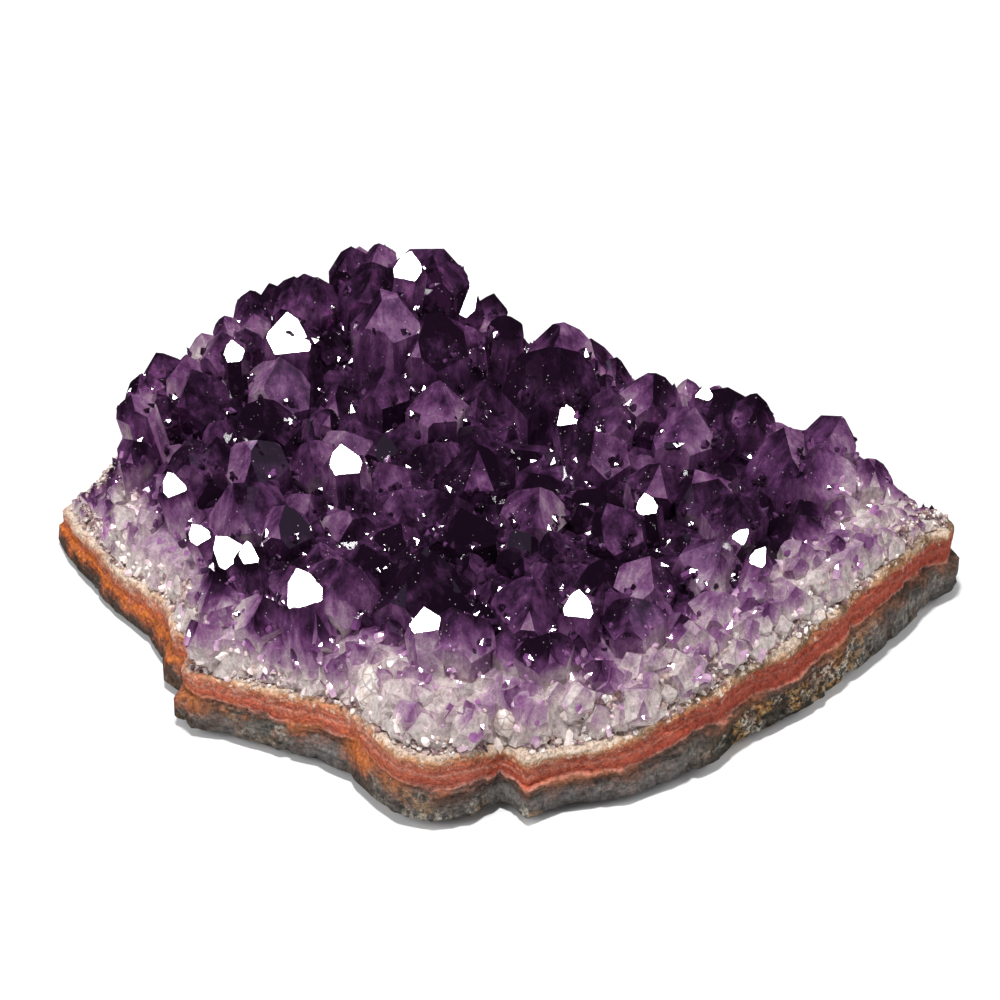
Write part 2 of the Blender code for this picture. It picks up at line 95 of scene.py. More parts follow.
# The slab's layers, foot first: share of the rim's height, inset, and how far both wander, in mm
LAYERS = (
    Layer(share=0.0, inset=5.0, lift=0.0, swing=1.4),
    Layer(share=0.14, inset=0.4, lift=0.4, swing=0.8),
    Layer(share=0.50, inset=0.9, lift=0.9, swing=1.3),
    Layer(share=0.56, inset=2.0, lift=0.9, swing=1.0),
    Layer(share=0.93, inset=2.0, lift=0.3, swing=0.9),
)

# The slab and the crust, as the solids have them
RIM_INSET = 2.9 * MM
RIM_SWING = 0.7 * MM
ROUGH_PER_METRE = 90.0
ROUGH_LEVEL_STEP = 7.3
INNER_SHARE = 0.5
INNER_HEIGHT = 12.5 * MM
GAP = 0.3 * MM
BED_SINK = 1.0 * MM
BED_FOOT_INSET = 3.7 * MM
BED_SHOULDER_INSET = 5.8 * MM
BED_SHOULDER_RISE = 6.5 * MM
BED_DEPTH = 7.0 * MM
BED_SHARES = (0.78, 0.40)
FLUTE_SPACING = 2.6 * MM
FLUTE_LEAST = 0.1 * MM
FLUTE_MOST = 0.8 * MM
CREST_FALL = 13.0 * MM
CREST_FALL_BACK = 6.0 * MM
CREST_BACK_FROM = 5.0 * MM
CREST_BACK_FULL = 25.0 * MM
CREST_EDGE_RISE = 9.0 * MM
CREST_SOFTNESS = 6.0 * MM
CREST_FALLOFF = 1.6
HIGHEST_TIP = 48.0 * MM

# Towards both ends no tip stands over a line: one place, the line's height there, its steepness
LEFT_END = (-66.5 * MM, 15.0 * MM, 5.0)
RIGHT_END = (71.0 * MM, 14.5 * MM, 1.0)
END_LEAST_RISE = 2.0 * MM
BED_LEAST_DEPTH = 1.2 * MM

# How the place of a tip that stands out is searched for
TIP_STEPS = 40
TIP_STEP_SHARE = 0.4

END_FACE_ANGLE = math.radians(38.2)
SIDE_SHARES = (0.42, 0.53)
END_SHARES = (-0.10, 0.02)
SMALL_END_SHARES = (0.02, 0.14)
BLUNT_CHANCE = 0.3
BLUNT_SHARES = (0.06, 0.20)
BLUNT_TILT = 0.35
SAME_PLACE = 1e-7
ROOT_RISE = 2.0 * MM
ROOT_SHARE = 0.3
LENGTH_STEP = 0.5 * MM
LEAST_SHARE = 0.4
SHORTEST_SHARE = 1.2
EDGE_LEAN = math.radians(22.0)
EDGE_LEAN_REACH = 22.0 * MM
HERO_SPREAD = 0.10
RIM_SPREAD = 0.09
FILL_SPREAD = 0.17

# Crystals along the rim, as inset, spacing and widths of each row, and those that fill the rest
RANDOM_SEED = 11
SINK_LEAST = 1.4 * MM
SINK_MOST = 5.0 * MM
RIM_WANDER = 1.2 * MM
RIM_ROWS = (
    (4.6 * MM, 5.2 * MM, (4.5 * MM, 7.5 * MM)),
    (7.6 * MM, 5.2 * MM, (4.5 * MM, 7.5 * MM)),
    (10.6 * MM, 5.2 * MM, (4.5 * MM, 7.5 * MM)),
)
FILL_WIDTHS = (9.5 * MM, 8.5 * MM, 7.5 * MM, 6.5 * MM, 5.5 * MM, 4.5 * MM)
FILL_TRIES = 1500
FILL_INSET = 9.5 * MM
CLOSENESS = 0.40

# The short columns that stand side by side along the crust's outer wall
COLUMN_SPACING = 3.3 * MM
COLUMN_ROWS = (
    (4.3 * MM, 1.5 * MM, 5.5 * MM),
    (5.6 * MM, 4.5 * MM, 8.5 * MM),
    (7.8 * MM, 7.0 * MM, 10.5 * MM),
)
COLUMN_WIDTHS = (3.2 * MM, 6.2 * MM)
COLUMN_WANDER = 0.6
COLUMN_ROOT = 3.0 * MM
COLUMN_LEAST_SHARE = 0.9
COLUMN_BLUNT_CHANCE = 0.5

Pale = namedtuple("Pale", "across down height reach amount")

# Places where the crust stays pale: picture point, its height and reach in mm, and how pale it is
PALE_PLACES = [Pale(*row) for row in (
    (75, 530, 12.0, 18.0, 0.80), (100, 500, 16.0, 12.0, 0.60), (135, 600, 13.0, 14.0, 0.40),
    (200, 660, 14.0, 12.0, 0.35), (380, 700, 16.0, 13.0, 0.45), (455, 725, 14.0, 12.0, 0.45),
    (560, 720, 15.0, 12.0, 0.35), (650, 690, 16.0, 12.0, 0.30), (720, 640, 19.0, 12.0, 0.25),
    (810, 600, 18.0, 14.0, 0.40), (890, 530, 18.0, 18.0, 0.60), (860, 480, 24.0, 13.0, 0.40),
    (135, 410, 26.0, 9.0, 0.35), (620, 400, 30.0, 8.0, 0.25),
)]

# The fine surface of the rock
ROCK_STEP = 0.7 * MM
ROCK_LEVELS = 54
LEDGE_RINGS = 8
LEDGE_REACH = 9.0 * MM
FRACTAL_FALL = 0.7
FRACTAL_STEP = 2.1
WAVE_SHARE = 0.035
WAVE_SCALE = 130.0
LEAST_SIDE_SHARE = 0.01
STEP_DEPTH = 0.35 * MM
STEPS_UP = 26.0
STEPS_ALONG = 25.0
STEP_PATTERN = 3.0
CHIP_DEPTH = 0.85 * MM
CHIP_SCALE = 210.0
CHIP_OCTAVES = 4
LOWER_HALF = 0.5
LOWER_CHIPS = 1.2
SIDE_LIFT = 0.25 * MM
SIDE_LIFT_SCALE = 300.0
TOP_LIFT = 0.2 * MM
TOP_LIFT_SCALE = 500.0
TOP_LIFT_DROP = 0.6

Crack = namedtuple("Crack", "across wide deep")

# Upright cracks in the slab's visible side: picture column, width and depth in mm
CRACKS = [Crack(*row) for row in (
    (284, 0.5, 0.9), (350, 0.7, 0.8), (487, 1.2, 1.0), (600, 0.4, 0.5),
    (692, 0.6, 0.9), (757, 0.5, 0.7), (862, 0.6, 0.8), (905, 0.5, 0.6),
)]

# The visible side's cracks end short of here, wander, and grow shallow upwards
CRACKS_REACH = 12.0 * MM
CRACK_ROW = 760
CRACK_WANDER = 0.6 * MM
CRACK_WAVES = 4.0
CRACK_FADE = 0.6

# The massed quartz under the crystals: how far it lies under the solids' bed and inside it
CORE_SINK = 1.6 * MM
CORE_INSET = 1.8 * MM

# The crust's pale outer wall: its width, how far it fades inward, and the colour's depth
WALL_WIDTH = 7.5 * MM
WALL_FADE = 10.0 * MM
TONE_POWER = 1.3
TONE_MOST = 1.1
MIDDLE_TONE = 0.90

# How a facet of the joined crust is matched with a crystal's face, and how both are shaded: each
# crystal by its own random tone, each facet by a painted shade
FACETS_AT_ONCE = 1000
NORMAL_WEIGHT = 400.0
MOST_MISS = 0.05
OWN_SHADE = 0.45
PAINTED_FACET_SHADE = 0.55
DEPTH_ELSEWHERE = 9.0

# Grains of quartz on the rim and on the foot of the crust, and the broken white lumps at the front
GRAINS = 9000
GRAIN_SIZES = (0.12 * MM, 0.80 * MM)
GRAIN_RISE = 9.0 * MM
GRAIN_SCATTER = 0.25 * MM
GRAIN_PATCHES_PER_METRE = 110.0
GRAIN_SPACING = 1.0 * MM
GRAIN_UNEVENNESS = 0.38
GRAIN_RISE_POWER = 1.5
GRAIN_SINK = 0.4 * MM
GRAIN_LEAST_RISE = 0.3 * MM
GRAIN_LEDGE = (RIM_INSET - 0.1 * MM, BED_FOOT_INSET + 0.9 * MM)
GRAIN_SIZE_POWER = 1.8
GRAIN_STRETCH = (0.6, 1.1)
GRAIN_TINT_POWER = 0.7
SHAPE_KINDS = 16
LUMP_BASE = 13.0 * MM
LUMP_UNEVENNESS = 0.16
LUMP_STRETCH = ((0.42, 0.42, 0.5), (0.6, 0.6, 0.85))
LUMP_TINT = 0.8

# Small points between the large ones, and how many of them sparkle
SMALL_POINTS = 3400
SMALL_POINT_SIZES = (0.2 * MM, 0.85 * MM)
SMALL_POINT_HEIGHTS = (0.8, 2.0)
SMALL_POINT_LEAST_DEPTH = 2.2
SMALL_POINT_FACING = -0.2
SMALL_POINT_NEAREST = 0.1
SMALL_POINT_LOWER = 1.5
SMALL_POINT_LEAN = 0.5
SMALL_POINT_UP = (0.0, 0.0, 0.6)
SMALL_POINT_SPREAD = 0.3
POINT_TURN = 0.2
POINT_REACH = (0.75, 1.15)
POINT_FOOT = -1.5
POINT_SHOULDER = (-0.4, 0.2)
POINT_ASIDE = 0.35
POINT_TIP = 0.9
GLEAM_LIMIT = 0.995
SPARKLE_CHANCE = 0.14
SPARKLE_SPREAD = 0.03

Lump = namedtuple("Lump", "across down rise size")

# The broken lumps: picture point, height over LUMP_BASE, and size in mm
LUMPS = [Lump(*row) for row in (
    (372, 690, 5.0, 6.0), (396, 715, 2.5, 4.5), (440, 702, 3.8, 6.5), (470, 725, 2.0, 4.5),
    (425, 735, 1.5, 4.5), (505, 722, 2.5, 3.5), (540, 735, 1.5, 2.8), (735, 655, 3.5, 3.2),
    (812, 615, 3.5, 3.4), (845, 592, 2.5, 3.2),
)]

# The slab's widest outline on its visible side, from the left: picture point, and rim height in mm
FRONT_EDGE = (
    (55, 535, 8.0), (66, 556, 8.0), (86, 578, 8.5), (106, 605, 9.0),
    (126, 620, 9.5), (144, 636, 10.5), (161, 658, 11.5), (163, 681, 12.0),
    (182, 693, 12.0), (174, 717, 12.0), (190, 729, 12.0), (225, 736, 12.0),
    (275, 750, 12.5), (310, 759, 13.0), (340, 772, 13.5), (358, 789, 14.5),
    (374, 805, 15.0), (395, 820, 14.5), (430, 826, 14.0), (468, 820, 13.5),
    (490, 812, 12.5), (500, 803, 12.0), (510, 808, 12.0), (527, 821, 13.0),
    (563, 807, 12.5), (598, 803, 12.5), (630, 800, 13.0), (685, 780, 14.0),
    (722, 762, 15.0), (740, 748, 15.5), (775, 728, 16.0), (820, 702, 16.0),
    (857, 672, 16.5), (905, 635, 17.0), (921, 617, 16.5), (934, 602, 16.0),
    (954, 592, 15.0), (960, 581, 14.5), (955, 569, 14.0),
)

# The slab's outline along its hidden side, right to left: x, y and height of the rim in mm
BACK_EDGE = (
    (72.0, 10.0, 14.0), (67.0, 14.5, 15.0), (60.0, 21.0, 15.0), (51.0, 26.5, 15.0),
    (42.0, 30.0, 15.5), (31.0, 33.5, 16.0), (19.0, 39.0, 17.0), (8.0, 45.0, 18.5),
    (-4.0, 50.5, 20.0), (-14.0, 54.5, 21.0), (-26.0, 55.5, 21.0), (-38.0, 52.5, 20.0),
    (-47.0, 47.5, 18.0), (-55.0, 42.0, 15.5), (-63.0, 36.5, 13.0), (-69.0, 31.0, 11.0),
    (-73.0, 24.0, 9.0),
)

# How high the crystal tips reach: x, y and height in mm
CREST = (
    (-20.0, 45.5, 45.0), (-45.0, 37.5, 37.0), (5.0, 33.5, 38.0), (-62.0, 21.5, 27.0),
    (26.0, 25.0, 33.0), (44.0, 19.0, 31.0), (60.0, 9.0, 29.0), (0.0, 7.5, 27.0),
    (-30.0, 7.5, 28.0), (30.0, -4.5, 27.0), (-15.0, -28.5, 29.0), (-45.0, -8.5, 28.0),
    (46.0, -6.5, 29.0), (12.0, -30.5, 28.0), (6.0, 42.0, 26.0), (22.0, 33.0, 24.0),
    (51.0, 23.0, 21.0),
)

Hero = namedtuple("Hero", "across down wide proud gleams", defaults=[False])

# The crystals that stand out: picture point of the tip, width and extra height in mm, if it gleams
HEROES = [Hero(*row) for row in (
    (131, 394, 6.5, 5.0), (126, 378, 7.5, 3.0), (140, 374, 7.5, 1.0),
    (163, 353, 8.5, 1.0), (222, 331, 8.5, 2.0), (186, 354, 7.0, 1.5),
    (232, 340, 4.5, 1.0, True), (192, 369, 13.0, 2.5), (250, 290, 8.0, 1.0),
    (268, 284, 8.0, 1.0), (294, 276, 11.0, 2.0), (318, 277, 9.0, 1.5),
    (287, 312, 9.5, 2.5, True), (351, 246, 7.5, 1.0), (374, 262, 10.5, 2.0),
    (379, 243, 6.5, 1.5), (432, 249, 12.0, 2.5), (449, 258, 6.5, 1.5),
    (411, 251, 6.0, 3.0, True), (474, 283, 7.0, 3.0, True), (494, 293, 7.0, 1.5),
    (505, 315, 6.0, 1.5), (564, 322, 11.5, 2.0), (591, 338, 9.0, 1.5),
    (548, 347, 16.0, 4.0), (617, 357, 8.5, 1.0), (656, 373, 10.5, 1.0),
    (706, 384, 4.0, 0.5, True), (728, 387, 11.0, 2.0), (757, 393, 9.0, 1.5),
    (784, 427, 14.5, 3.0), (842, 416, 8.5, 5.0), (822, 445, 10.5, 3.0),
    (868, 458, 8.0, 0.5), (157, 397, 7.5, 1.0), (134, 440, 6.5, 1.0),
    (168, 472, 5.0, 1.0, True), (192, 438, 7.5, 0.5), (217, 436, 7.5, 0.5),
    (262, 398, 10.0, 1.0), (258, 440, 11.0, 2.0), (308, 441, 9.0, 1.0),
    (341, 444, 7.5, 2.0, True), (233, 483, 13.0, 3.0), (192, 524, 4.5, 0.5, True),
    (216, 536, 7.0, 1.5, True), (247, 541, 5.0, 1.5, True), (285, 505, 9.0, 1.0),
    (297, 568, 8.0, 2.0, True), (345, 562, 14.0, 3.0), (425, 547, 18.0, 4.0),
    (424, 607, 6.0, 1.5, True), (460, 613, 11.0, 2.0), (533, 577, 12.0, 2.5),
    (579, 589, 6.0, 1.0, True), (632, 597, 10.0, 2.0), (545, 634, 9.0, 1.0),
    (650, 556, 9.5, 1.0), (738, 493, 10.0, 3.0), (722, 541, 10.5, 2.0),
    (748, 529, 4.0, 0.5, True), (765, 547, 4.5, 1.0, True), (645, 493, 4.5, 0.5, True),
    (426, 314, 13.0, 2.0), (380, 289, 11.5, 1.5), (386, 368, 9.0, 1.0),
    (440, 380, 10.0, 1.0), (280, 357, 11.5, 1.0), (478, 444, 12.0, 3.0),
    (460, 507, 11.5, 2.0), (540, 487, 10.5, 1.0), (607, 503, 10.0, 1.5),
    (660, 463, 9.5, 1.5), (695, 469, 10.5, 1.5), (694, 407, 10.5, 1.0),
    (612, 388, 11.0, 1.0), (565, 404, 5.0, 1.0, True), (595, 430, 10.0, 0.5),
    (215, 568, 11.0, 0.0), (263, 596, 9.0, 0.0), (316, 613, 7.5, 0.0),
)]


def show(obj):
    bpy.context.scene.collection.objects.link(obj)


def on_sight_line(across, down, height):
    """The point at that height that is seen at a picture point."""
    up = Vector((0.0, math.sin(VIEW_ELEVATION), math.cos(VIEW_ELEVATION)))
    right = Vector((1.0, 0.0, 0.0))
    sight = (
        AWAY
        + right * (across - VIEW_MIDDLE) / VIEW_POINTS_PER_TANGENT
        + up * (VIEW_MIDDLE - down) / VIEW_POINTS_PER_TANGENT
    )
    return EYE + sight * (height - EYE.z) / sight.z


def slab_outline():
    """The slab's widest outline, anticlockwise from above, with the height of the rim in z."""
    front = [
        on_sight_line(across, down, SEEN_HEIGHT).xy.to_3d() + Vector((0, 0, rim * MM))
        for across, down, rim in FRONT_EDGE
    ]
    back = [Vector(row) * MM for row in BACK_EDGE]
    return front + back


OUTLINE = slab_outline()
STARTS = np.array([corner[:] for corner in OUTLINE])
ENDS = np.roll(STARTS, -1, axis=0)


def edge_distances(points):
    """How far points lie inside the outline, and the rim's height at the nearest place."""
    points = np.asarray(points, float)[:, None, :2]
    along = (ENDS - STARTS)[None, :, :2]
    offset = points - STARTS[None, :, :2]
    share = np.clip((offset * along).sum(2) / (along**2).sum(2), 0.0, 1.0)
    distance = np.linalg.norm(offset - along * share[:, :, None], axis=2)
    nearest = distance.argmin(1)
    row = np.arange(len(points))
    rims = STARTS[None, :, 2] + (ENDS - STARTS)[None, :, 2] * share
    above = STARTS[:, 1] > points[:, :, 1]
    crosses = above != (ENDS[:, 1] > points[:, :, 1])
    with np.errstate(divide="ignore", invalid="ignore"):
        slope = (points[:, :, 1] - STARTS[:, 1]) / (ENDS - STARTS)[:, 1]
    crossing = STARTS[:, 0] + slope * (ENDS - STARTS)[:, 0]
    inside = (crosses & (points[:, :, 0] < crossing)).sum(1) % 2 == 1
    return np.where(inside, 1.0, -1.0) * distance[row, nearest], rims[row, nearest]


def edge_distance(x, y):
    distances, rims = edge_distances([(x, y)])
    return float(distances[0]), float(rims[0])


def smooth_steps(share):
    share = np.clip(share, 0.0, 1.0)
    return share * share * (3.0 - 2.0 * share)


def crest_heights(points):
    """How high the crystal tips reach at each place."""
    points = np.asarray(points, float)[:, :2]
    crest = np.array(CREST) * MM
    gap = ((points[:, None, :] - crest[None, :, :2]) ** 2).sum(2)
    weight = 1.0 / (gap + CREST_SOFTNESS**2) ** CREST_FALLOFF
    inner = (weight * crest[:, 2]).sum(1) / weight.sum(1)
    distance, rim = edge_distances(points)
    outer = rim + CREST_EDGE_RISE
    at_back = smooth_steps((points[:, 1] - CREST_BACK_FROM) / (CREST_BACK_FULL - CREST_BACK_FROM))
    fall = CREST_FALL + (CREST_FALL_BACK - CREST_FALL) * at_back
    height = outer + (inner - outer) * smooth_steps(distance / fall)
    left = LEFT_END[1] + LEFT_END[2] * (points[:, 0] - LEFT_END[0])
    right = RIGHT_END[1] + RIGHT_END[2] * (RIGHT_END[0] - points[:, 0])
    limit = np.maximum(np.minimum(left, right), rim + END_LEAST_RISE)
    return np.minimum(height, limit)


def crest_height(x, y):
    return float(crest_heights([(x, y)])[0])


def inward(x, y):
    """The level direction that leads away from the nearest edge."""
    step = 0.2 * MM
    near = [(x + step, y), (x - step, y), (x, y + step), (x, y - step)]
    right, left, far, close = edge_distances(near)[0]
    return Vector((right - left, far - close)).normalized()


def pulled_in(corner, inset):
    """A point on the outline, moved straight towards the middle."""
    return corner.xy * (1.0 - inset / corner.xy.length)


def evenly_spaced(outline, spacing):
    """Points along an outline, each one spacing after the last."""
    points, step = [], 0.0
    for start, end in zip(outline, outline[1:] + outline[:1]):
        length = (end - start).xy.length
        while step < length:
            points.append(start.lerp(end, step / length))
            step += spacing
        step -= length
    return points


def ring(radial_inset, height_of, outline=OUTLINE):
    """An outline drawn in towards the middle, at the height that height_of gives each point."""
    points = []
    for corner in outline:
        place = pulled_in(corner, radial_inset(corner))
        points.append(Vector((place.x, place.y, height_of(corner, place))))
    return points


def rough(place, level, size):
    """A steady unevenness of at most size, which varies along the edge and with the level."""
    across, along = place.xy * ROUGH_PER_METRE
    return size * noise.noise(Vector((across, along, level * ROUGH_LEVEL_STEP)))


def loft(name, rings, foot, top):
    """A closed body through rings of equal count, each cap a fan to one point."""
    bm = bmesh.new()
    rows = [[bm.verts.new(point) for point in points] for points in rings]
    ends = bm.verts.new(foot), bm.verts.new(top)
    for lower, upper in zip(rows, rows[1:]):
        for i in range(len(lower)):
            j = (i + 1) % len(lower)
            bm.faces.new((lower[i], lower[j], upper[j]))
            bm.faces.new((lower[i], upper[j], upper[i]))
    for cap, row in zip(ends, (rows[0], rows[-1])):
        for i in range(len(row)):
            bm.faces.new((cap, row[i], row[(i + 1) % len(row)]))
    bmesh.ops.recalc_face_normals(bm, faces=bm.faces)
    mesh = bpy.data.meshes.new(name)
    bm.to_mesh(mesh)
    bm.free()
    return bpy.data.objects.new(name, mesh)


def make_bed(name, sink, inset):
    """The quartz between the crystals, from just under the slab's face up to the valleys."""
    rng = random.Random(RANDOM_SEED)
    outline = evenly_spaced(OUTLINE, FLUTE_SPACING)
    flutes = {
        tuple(corner): rng.uniform(FLUTE_LEAST, FLUTE_MOST) * (-1) ** number
        for number, corner in enumerate(outline)
    }
    rings = []
    for level_inset, rise in (
        (BED_FOOT_INSET, -BED_SINK),
        (BED_SHOULDER_INSET, BED_SHOULDER_RISE),
    ):
        rings.append(
            ring(
                lambda corner: level_inset + inset + flutes[tuple(corner)],
                lambda corner, place: min(
                    corner.z + rise, crest_height(*place) - BED_LEAST_DEPTH
                )
                - sink * (rise > 0),
                outline,
            )
        )
    for share in BED_SHARES:
        rings.append(
            ring(
                lambda corner: (1.0 - share) * corner.xy.length,
                lambda corner, place: crest_height(*place) - BED_DEPTH - sink,
                outline,
            )
        )
    top = Vector((0.0, 0.0, crest_height(0.0, 0.0) - BED_DEPTH - sink))
    return loft(name, rings, Vector((0.0, 0.0, INNER_HEIGHT - BED_SINK)), top)


def make_slab_clearance():
    """All that the crust stays out of: the slab, its gap, and the space round and under it."""
    far = 30.0 * MM
    low = -10.0 * MM
    rings = [
        ring(lambda corner: -far, lambda corner, place: low),
        ring(lambda corner: -far, lambda corner, place: corner.z + GAP),
        ring(
            lambda corner: RIM_INSET + rough(corner, len(LAYERS), RIM_SWING),
            lambda corner, place: corner.z + GAP,
        ),
        ring(
            lambda corner: (1.0 - INNER_SHARE) * corner.xy.length,
            lambda corner, place: INNER_HEIGHT + GAP,
        ),
    ]
    top = Vector((0.0, 0.0, INNER_HEIGHT + GAP))
    return loft("slab_clearance", rings, Vector((0.0, 0.0, low)), top)


def cut(bm, place, normal):
    """Takes away what lies beyond a plane and closes the cut with one flat face."""
    geometry = list(bm.verts) + list(bm.edges) + list(bm.faces)
    found = bmesh.ops.bisect_plane(
        bm, geom=geometry, dist=SAME_PLACE, plane_co=place, plane_no=normal, clear_outer=True
    )
    edges = [e for e in found["geom_cut"] if isinstance(e, bmesh.types.BMEdge)]
    if len(edges) > 2:
        bmesh.ops.holes_fill(bm, edges=edges)


def crystal_mesh(name, width, length, small_faces, blunt, exact, rng):
    """A crystal along +Z, its tip at the origin: six sides, three large end faces, some small."""
    bm = bmesh.new()
    bmesh.ops.create_cube(bm, size=1.0)
    bmesh.ops.scale(bm, vec=(width * 2, width * 2, length), verts=bm.verts)
    bmesh.ops.translate(bm, vec=(0.0, 0.0, -length / 2), verts=bm.verts)
    for side in range(6):
        angle = side * math.pi / 3
        out = Vector((math.cos(angle), math.sin(angle), 0.0))
        cut(bm, out * width * rng.uniform(*SIDE_SHARES), out)
    for side in range(6):
        angle = side * math.pi / 3
        level = math.cos(END_FACE_ANGLE)
        up = math.sin(END_FACE_ANGLE)
        out = Vector((math.cos(angle) * level, math.sin(angle) * level, up))
        if side % 2 == 0:
            cut(bm, out * width * rng.uniform(*END_SHARES), out)
        elif side // 2 < small_faces:
            cut(bm, out * width * rng.uniform(*SMALL_END_SHARES), out)
    if blunt:
        tilted = Vector((rng.gauss(0, BLUNT_TILT), rng.gauss(0, BLUNT_TILT), 1.0))
        low = Vector((0.0, 0.0, -width * rng.uniform(*BLUNT_SHARES)))
        cut(bm, low, tilted.normalized())
    highest = max((vert.co.copy() for vert in bm.verts), key=lambda corner: corner.z)
    if not exact:
        highest.xy = (0.0, 0.0)
    bmesh.ops.translate(bm, vec=-highest, verts=bm.verts)
    bmesh.ops.recalc_face_normals(bm, faces=bm.faces)
    mesh = bpy.data.meshes.new(name)
    bm.to_mesh(mesh)
    bm.free()
    return mesh


def gleaming_axes(tip, upright):
    """Axes of a nearly upright crystal whose first end face mirrors the key light to the eye."""
    gleam = ((EYE - tip).normalized() + (KEY_PLACE - tip).normalized()).normalized()
    sideways = (upright - gleam * upright.dot(gleam)).normalized()
    axis = gleam * math.sin(END_FACE_ANGLE) + sideways * math.cos(END_FACE_ANGLE)
    first = (gleam - axis * math.sin(END_FACE_ANGLE)).normalized()
    return first, axis.cross(first), axis


def turned_axes(axis, turn):
    """Axes of a crystal along axis, turned about it."""
    first = axis.orthogonal().normalized()
    first = Matrix.Rotation(turn, 3, axis) @ first
    return first, axis.cross(first), axis


def growth(place, rng, spread):
    """The way a crystal grows there: up, leaning out towards the rim, and a little its own way."""
    distance, _ = edge_distance(place.x, place.y)
    lean = EDGE_LEAN * (1.0 - float(smooth_steps(distance / EDGE_LEAN_REACH)))
    out = -inward(place.x, place.y).to_3d()
    own = Vector((rng.gauss(0.0, spread), rng.gauss(0.0, spread), 0.0))
    return (Vector((0.0, 0.0, 1.0)) + out * math.tan(lean) + own).normalized()


def is_rooted(root, width):
    """Whether a crystal that starts there starts inside the crust."""
    return edge_distance(root.x, root.y)[0] > BED_FOOT_INSET + ROOT_SHARE * width


def stand(mesh, tip, axes, crystals):
    """Stands a crystal's mesh along its axes, its tip there."""
    obj = bpy.data.objects.new(mesh.name, mesh)
    obj.matrix_world = Matrix.Translation(tip) @ Matrix(axes).transposed().to_4x4()
    crystals.objects.link(obj)


def place_crystal(name, tip, axes, width, faces, rng, crystals):
    """Adds a crystal with its tip there, long enough to root in the crust and not to leave it.

    faces holds the number of small end faces, if the tip is broken off, and if its highest
    corner is exactly at tip, not only level with it.
    """
    axis = axes[2]
    length = (tip.z - INNER_HEIGHT - ROOT_RISE) / axis.z
    if length < LEAST_SHARE * width:
        return
    while not is_rooted(tip - axis * length, width):
        length -= LENGTH_STEP
        if length < SHORTEST_SHARE * width:
            return
    stand(crystal_mesh(name, width, length, *faces, rng), tip, axes, crystals)


def hero_tip(hero):
    """The tip's place on its sight line, as high as the crest there and its own extra height."""
    height = HIGHEST_TIP
    for _ in range(TIP_STEPS):
        point = on_sight_line(hero.across, hero.down, height)
        aim = crest_height(point.x, point.y) + hero.proud * MM
        height += TIP_STEP_SHARE * (aim - height)
    return on_sight_line(hero.across, hero.down, height)


def make_heroes(rng, taken, growing):
    """Places the crystals that stand out, and notes where they are."""
    for number, hero in enumerate(HEROES):
        tip = hero_tip(hero)
        upright = growth(tip, rng, HERO_SPREAD)
        if hero.gleams:
            axes = gleaming_axes(tip, upright)
        else:
            axes = turned_axes(upright, rng.uniform(0.0, math.pi / 3))
        wide = hero.wide * MM
        faces = (3, not hero.gleams and rng.random() < BLUNT_CHANCE, True)
        place_crystal(f"hero_{number:02d}", tip, axes, wide, faces, rng, growing)
        taken.append((tip.x, tip.y, wide))


def is_free(x, y, wide, taken):
    return all(
        math.hypot(x - near_x, y - near_y) > CLOSENESS * (wide + near_wide)
        for near_x, near_y, near_wide in taken
    )


def add_crystal(kind, x, y, wide, spread, rng, taken, growing):
    """Adds a crystal whose tip is a little under the crest there, if there is room."""
    if not is_free(x, y, wide, taken):
        return
    tip = Vector((x, y, crest_height(x, y) - rng.uniform(SINK_LEAST, SINK_MOST)))
    axes = turned_axes(growth(tip, rng, spread), rng.uniform(0.0, math.pi / 3))
    faces = (3, rng.random() < BLUNT_CHANCE, False)
    place_crystal(f"{kind}_{len(taken):03d}", tip, axes, wide, faces, rng, growing)
    taken.append((x, y, wide))


def drawn_in(corner, inset):
    """The place that lies inset from the nearest edge, inward of a point on the outline."""
    place = pulled_in(corner, inset)
    return place + inward(*place) * (inset - edge_distance(*place)[0])


def make_columns(rng, growing):
    """Short columns side by side along the crust's outer wall, down to the slab."""
    for inset, lowest, highest in COLUMN_ROWS:
        for number, corner in enumerate(evenly_spaced(OUTLINE, COLUMN_SPACING)):
            aside = rng.uniform(-COLUMN_WANDER, COLUMN_WANDER) * MM
            place = drawn_in(corner, inset + aside)
            wide = rng.uniform(*COLUMN_WIDTHS)
            tip = place.to_3d()
            tip.z = min(corner.z + rng.uniform(lowest, highest), crest_height(*place))
            axes = turned_axes(growth(tip, rng, RIM_SPREAD), rng.uniform(0.0, math.pi / 3))
            length = (tip.z - corner.z + COLUMN_ROOT) / axes[2].z
            if length < COLUMN_LEAST_SHARE * wide:
                continue
            blunt = rng.random() < COLUMN_BLUNT_CHANCE
            name = f"column_{inset * 1000:.0f}_{number:03d}"
            stand(crystal_mesh(name, wide, length, 3, blunt, False, rng), tip, axes, growing)


def make_crystals(growing):
    """All the crystals: those that stand out, rows along the rim, the rest, and the columns."""
    rng = random.Random(RANDOM_SEED)
    taken = []
    make_heroes(rng, taken, growing)
    for inset, spacing, widths in RIM_ROWS:
        for corner in evenly_spaced(OUTLINE, spacing):
            place = drawn_in(corner, inset + rng.uniform(-RIM_WANDER, RIM_WANDER))
            wide = rng.uniform(*widths)
            add_crystal("rim", *place, wide, RIM_SPREAD, rng, taken, growing)
    half_long = max(abs(corner.x) for corner in OUTLINE)
    half_wide = max(abs(corner.y) for corner in OUTLINE)
    for wide in FILL_WIDTHS:
        for _ in range(FILL_TRIES):
            x = rng.uniform(-half_long, half_long)
            y = rng.uniform(-half_wide, half_wide)
            if edge_distance(x, y)[0] > FILL_INSET:
                add_crystal("fill", x, y, wide, FILL_SPREAD, rng, taken, growing)
    make_columns(rng, growing)
    return len(growing.objects)


